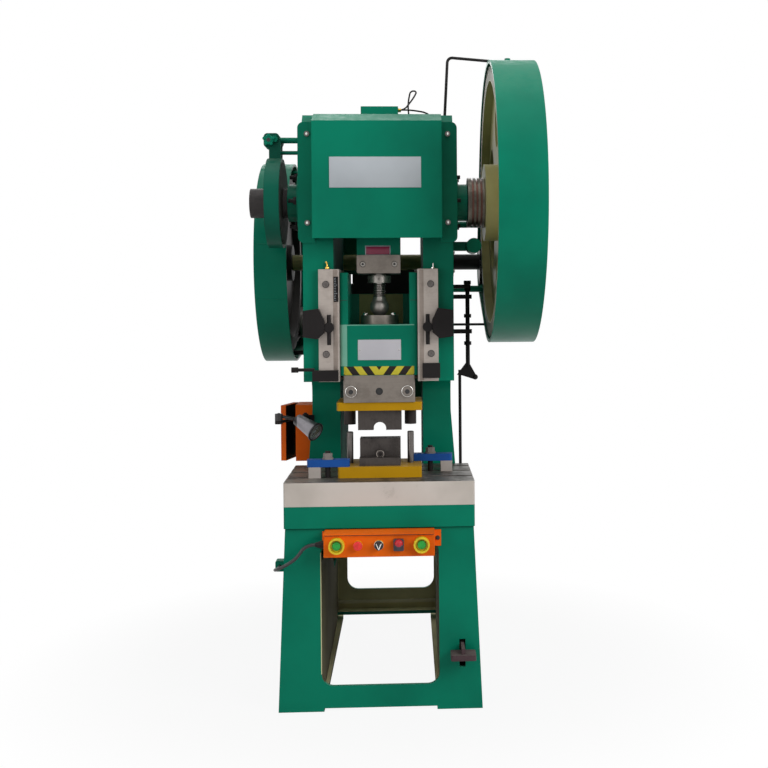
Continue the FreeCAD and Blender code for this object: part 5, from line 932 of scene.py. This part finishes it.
def die_details():
    """Dark stud ends in the shank's nuts and the ring round the lower die's boss."""
    nut = corner("shank_screws", 0).y
    piece("shank_stud_ends", "slide", "black_plastic", "black_oxide",
          *row(drum, grid(both(SHANK_STUD), [nut], [SHANK_Z]), FRONT, 0.5, 7, None, 24))
    piece("shank_washers", "slide", "bright", "machined_steel",
          *row(hoop, grid(both(SHANK_STUD), [nut + 16], [SHANK_Z]), FRONT, 16, 1.6))
    # Black disc in the shank's bore: painted shade.
    piece("shank_hole_shade", "slide", "black_plastic", "black_oxide",
          (drum, (0, nut + 26, SHANK_Z), FRONT, 0.5, 10.9))
    piece("boss_ring", "base", "screw", "machined_steel", (hoop, (0, -372, 740), FRONT, 11, 1.3))


def head_details():
    """Bright heads in the cover's screws, the lug bolt's nut, the brake's spring and the oil fittings."""
    piece("cover_screw_heads", "frame", "bright", "machined_steel",
          *row(drum, grid(*COVER_SCREWS), FRONT, 2, 4.8, 3.6, 24, 0.4))
    low, high = corner("brake_anchor", 0), corner("brake_anchor", 1)
    piece("brake_spring", "frame", "dark_steel", "dark_steel",
          (coil, (-314, high.y - 52.5, 1701), (0, 1, 0), 40, 15, 2.2, 6))
    x, y, z = -331, low.y + 2, 1697
    lumps = [(x + across, y, z + up) for _, across, up in around((0, 0, 0), 14, 5, 18)]
    piece("lug_nut", "frame", "green", "green_paint", (drum, (x, y, z), FRONT, 9, 15, None, 10, 1.5),
          *row(drum, lumps, FRONT, 11, 5, None, 16, 1.5))
    # Black disc in the lug nut's hollow centre: painted shade.
    piece("lug_socket_shade", "frame", "rubber", "black_oxide", (drum, (x, y - 9, z), FRONT, 0.5, 6, None, 20))
    piece("oil_fittings", "frame", "brass", "machined_steel",
          *row(drum, grid([62], (-330, -344), [1790]), RIGHT, 9, 5, None, 6, 0.6),
          *row(drum, [(96, -303, 1765), (156, -342, 1765)], UP, 9, 5, None, 6, 0.6))


def control_panel():
    """Seam under the box's visor, a bolt beside it, the switch's red lens, the selector's ring and grip."""
    front, knob = corner("button_rings", 1).y, corner("selector_knob", 0).y
    piece("box_seam", "base", "black_plastic", "black_oxide",
          (block, (-157, front - 0.6, 531), (157, front, 533.4)))
    piece("box_bolt", "base", "rubber", "black_oxide", (hex_bolt, (170, -494, 508), FRONT, 6))
    piece("switch_lens", "base", "red_lens", "button_red",
          (drum, (56, front - 12, 509), FRONT, 10.6, 13, 9, 40, 2.5))
    piece("selector_ring", "selector", "bright", "polished_steel",
          (hoop, (-1, knob + 15, 504), FRONT, 12.4, 1.5))
    piece("selector_grip", "selector", "bright", "polished_steel",
          *((drum, (-1, knob - 0.2, 494), (lean, 0, 1), 19, 1.4, None, 8) for lean in both(0.42)))


def work_lamp():
    """Black rim, lens, bulb and reflector of the work lamp."""
    tail, rim = Vector((-262, -242, 835)), Vector((-201, -284, 799))
    axis = (rim - tail).normalized()
    piece("lamp_rim", "lamp_head", "black_plastic", "black_oxide",
          (hoop, rim - axis * 2, axis, 28, 3.2, 48, 12))
    piece("lamp_lens", "lamp_head", "glass", "lamp_metal", (drum, rim - axis * 5, axis, 3, 25, None, 48, 0.8))
    piece("lamp_bulb", "lamp_head", "white_plate", "lamp_metal", (ball, rim - axis * 15, 9))
    piece("lamp_reflector", "lamp_head", "bright", "lamp_metal",
          (drum, rim - axis * 26, axis, 18, 15, 24.5, 48))


def cabinet_details():
    """Black sheet on the inside of the pan door, as it stands ajar: painted shade for the dark gap."""
    piece("door_shade_sheet", "door", "black_plastic", "black_oxide",
          (swung, (-286, 30, 0), -14, block, (-288.5, -96, 689), (-284.6, 20, 864), 0.5))


def stand_details():
    """Ridges along the inside of the stand's rear panel, painted pale as a highlight."""
    inner = corner("base_stand", 1).y - 12
    piece("stand_ridges", "base", "ridge_highlight", "green_paint",
          (block, (-270, inner - 8, 62), (270, inner, 75), 3),
          (block, (-198, inner - 8, 74), (-184, inner, 420), 3))


def guard_details():
    """Weld beads, seams and fixing bolts of the two guards."""
    right, left = corner("gear_guard", 1).x, corner("belt_guard", 0).x
    piece("gear_guard_bead", "frame", "green", "green_paint",
          (bead, right - 1.2, CRANK, 430.0, DRIVE, 103.0, 2.0))
    piece("belt_guard_bead", "frame", "green", "green_paint",
          (bead, left + 1.2, DRIVE, 338.0, MOTOR, 93.0, 2.0))
    seams = [around((left + 1, *DRIVE), 339.8, 1, angle)[0] for angle in (116, 172, 202)]
    piece("belt_guard_seams", "frame", "green", "green_paint", *row(drum, seams, RIGHT, 101, 1.4, None, 8))
    stays = [(right, DRIVE[0] - 47 + dy, DRIVE[1] + 17 + dz) for dy, dz in ((41.5, 112.6), (-41.5, -112.6))]
    piece("gear_guard_bolts", "frame", "bright", "machined_steel", *row(hex_bolt, stays, RIGHT, 9))
    piece("belt_guard_bolts", "frame", "bright", "machined_steel",
          *row(hex_bolt, [(left, DRIVE[0], DRIVE[1] + rise) for rise in both(312)], LEFT, 8))


def motor_details():
    """Fan grille, shield screws and terminal lid."""
    right, top = corner("motor", 1).x, corner("motor", 1).z
    hub = Vector((right + 0.5, *MOTOR))
    ways = [Vector(spot) - hub for spot in around(hub, 20, 8, 22.5)]
    piece("motor_grille", "frame", "black", "black_oxide",
          *((drum, hub + way, way, 60, 1.8, None, 10) for way in ways),
          *((hoop, hub, RIGHT, radius, 1.6, 64, 8) for radius in (24, 40, 56, 72)))
    piece("motor_screws", "frame", "black_plastic", "black_oxide",
          *row(socket_screw, around((right, *MOTOR), 86, 4, 45), RIGHT, 6))
    piece("motor_lid", "frame", "motor", "black_oxide", (block, (-184, 482, top - 8), (-66, 578, top), 2.5))


def bearing_details():
    """Bolts round the flanges of the crank and of the drive shaft, and the trip rod's upper bracket."""
    for name, way, crank_face in (("right", 1, 225), ("left", -1, -243)):
        out = (way, 0, 0)
        piece("drive_bolts_" + name, "frame", "bright", "machined_steel",
              *row(hex_bolt, around((way * 247, *DRIVE), 46, 4, 45), out, 6))
        bolts = around((crank_face, *CRANK), 86, 6, 60)
        piece("crank_bolts_" + name, "frame", "black", "black_oxide", *row(hex_bolt, bolts, out, 13),
              *row(drum, bolts, out, 25, 6, None, 16, 0.8))
    piece("trip_top_bracket", "frame", "black", "black_oxide",
          (block, (224, -105, 1247), (294, -81, 1259), 1.5),
          *row(drum, grid([284], [-93], (1259, 1238)), UP, 9, 12, None, 6, 1))


# ------------------------------------------------------------------------ run
dress_frame()
camera()
studio()
control_cable()
bare_plates()
slide_details()
die_details()
head_details()
control_panel()
work_lamp()
cabinet_details()
stand_details()
guard_details()
motor_details()
bearing_details()
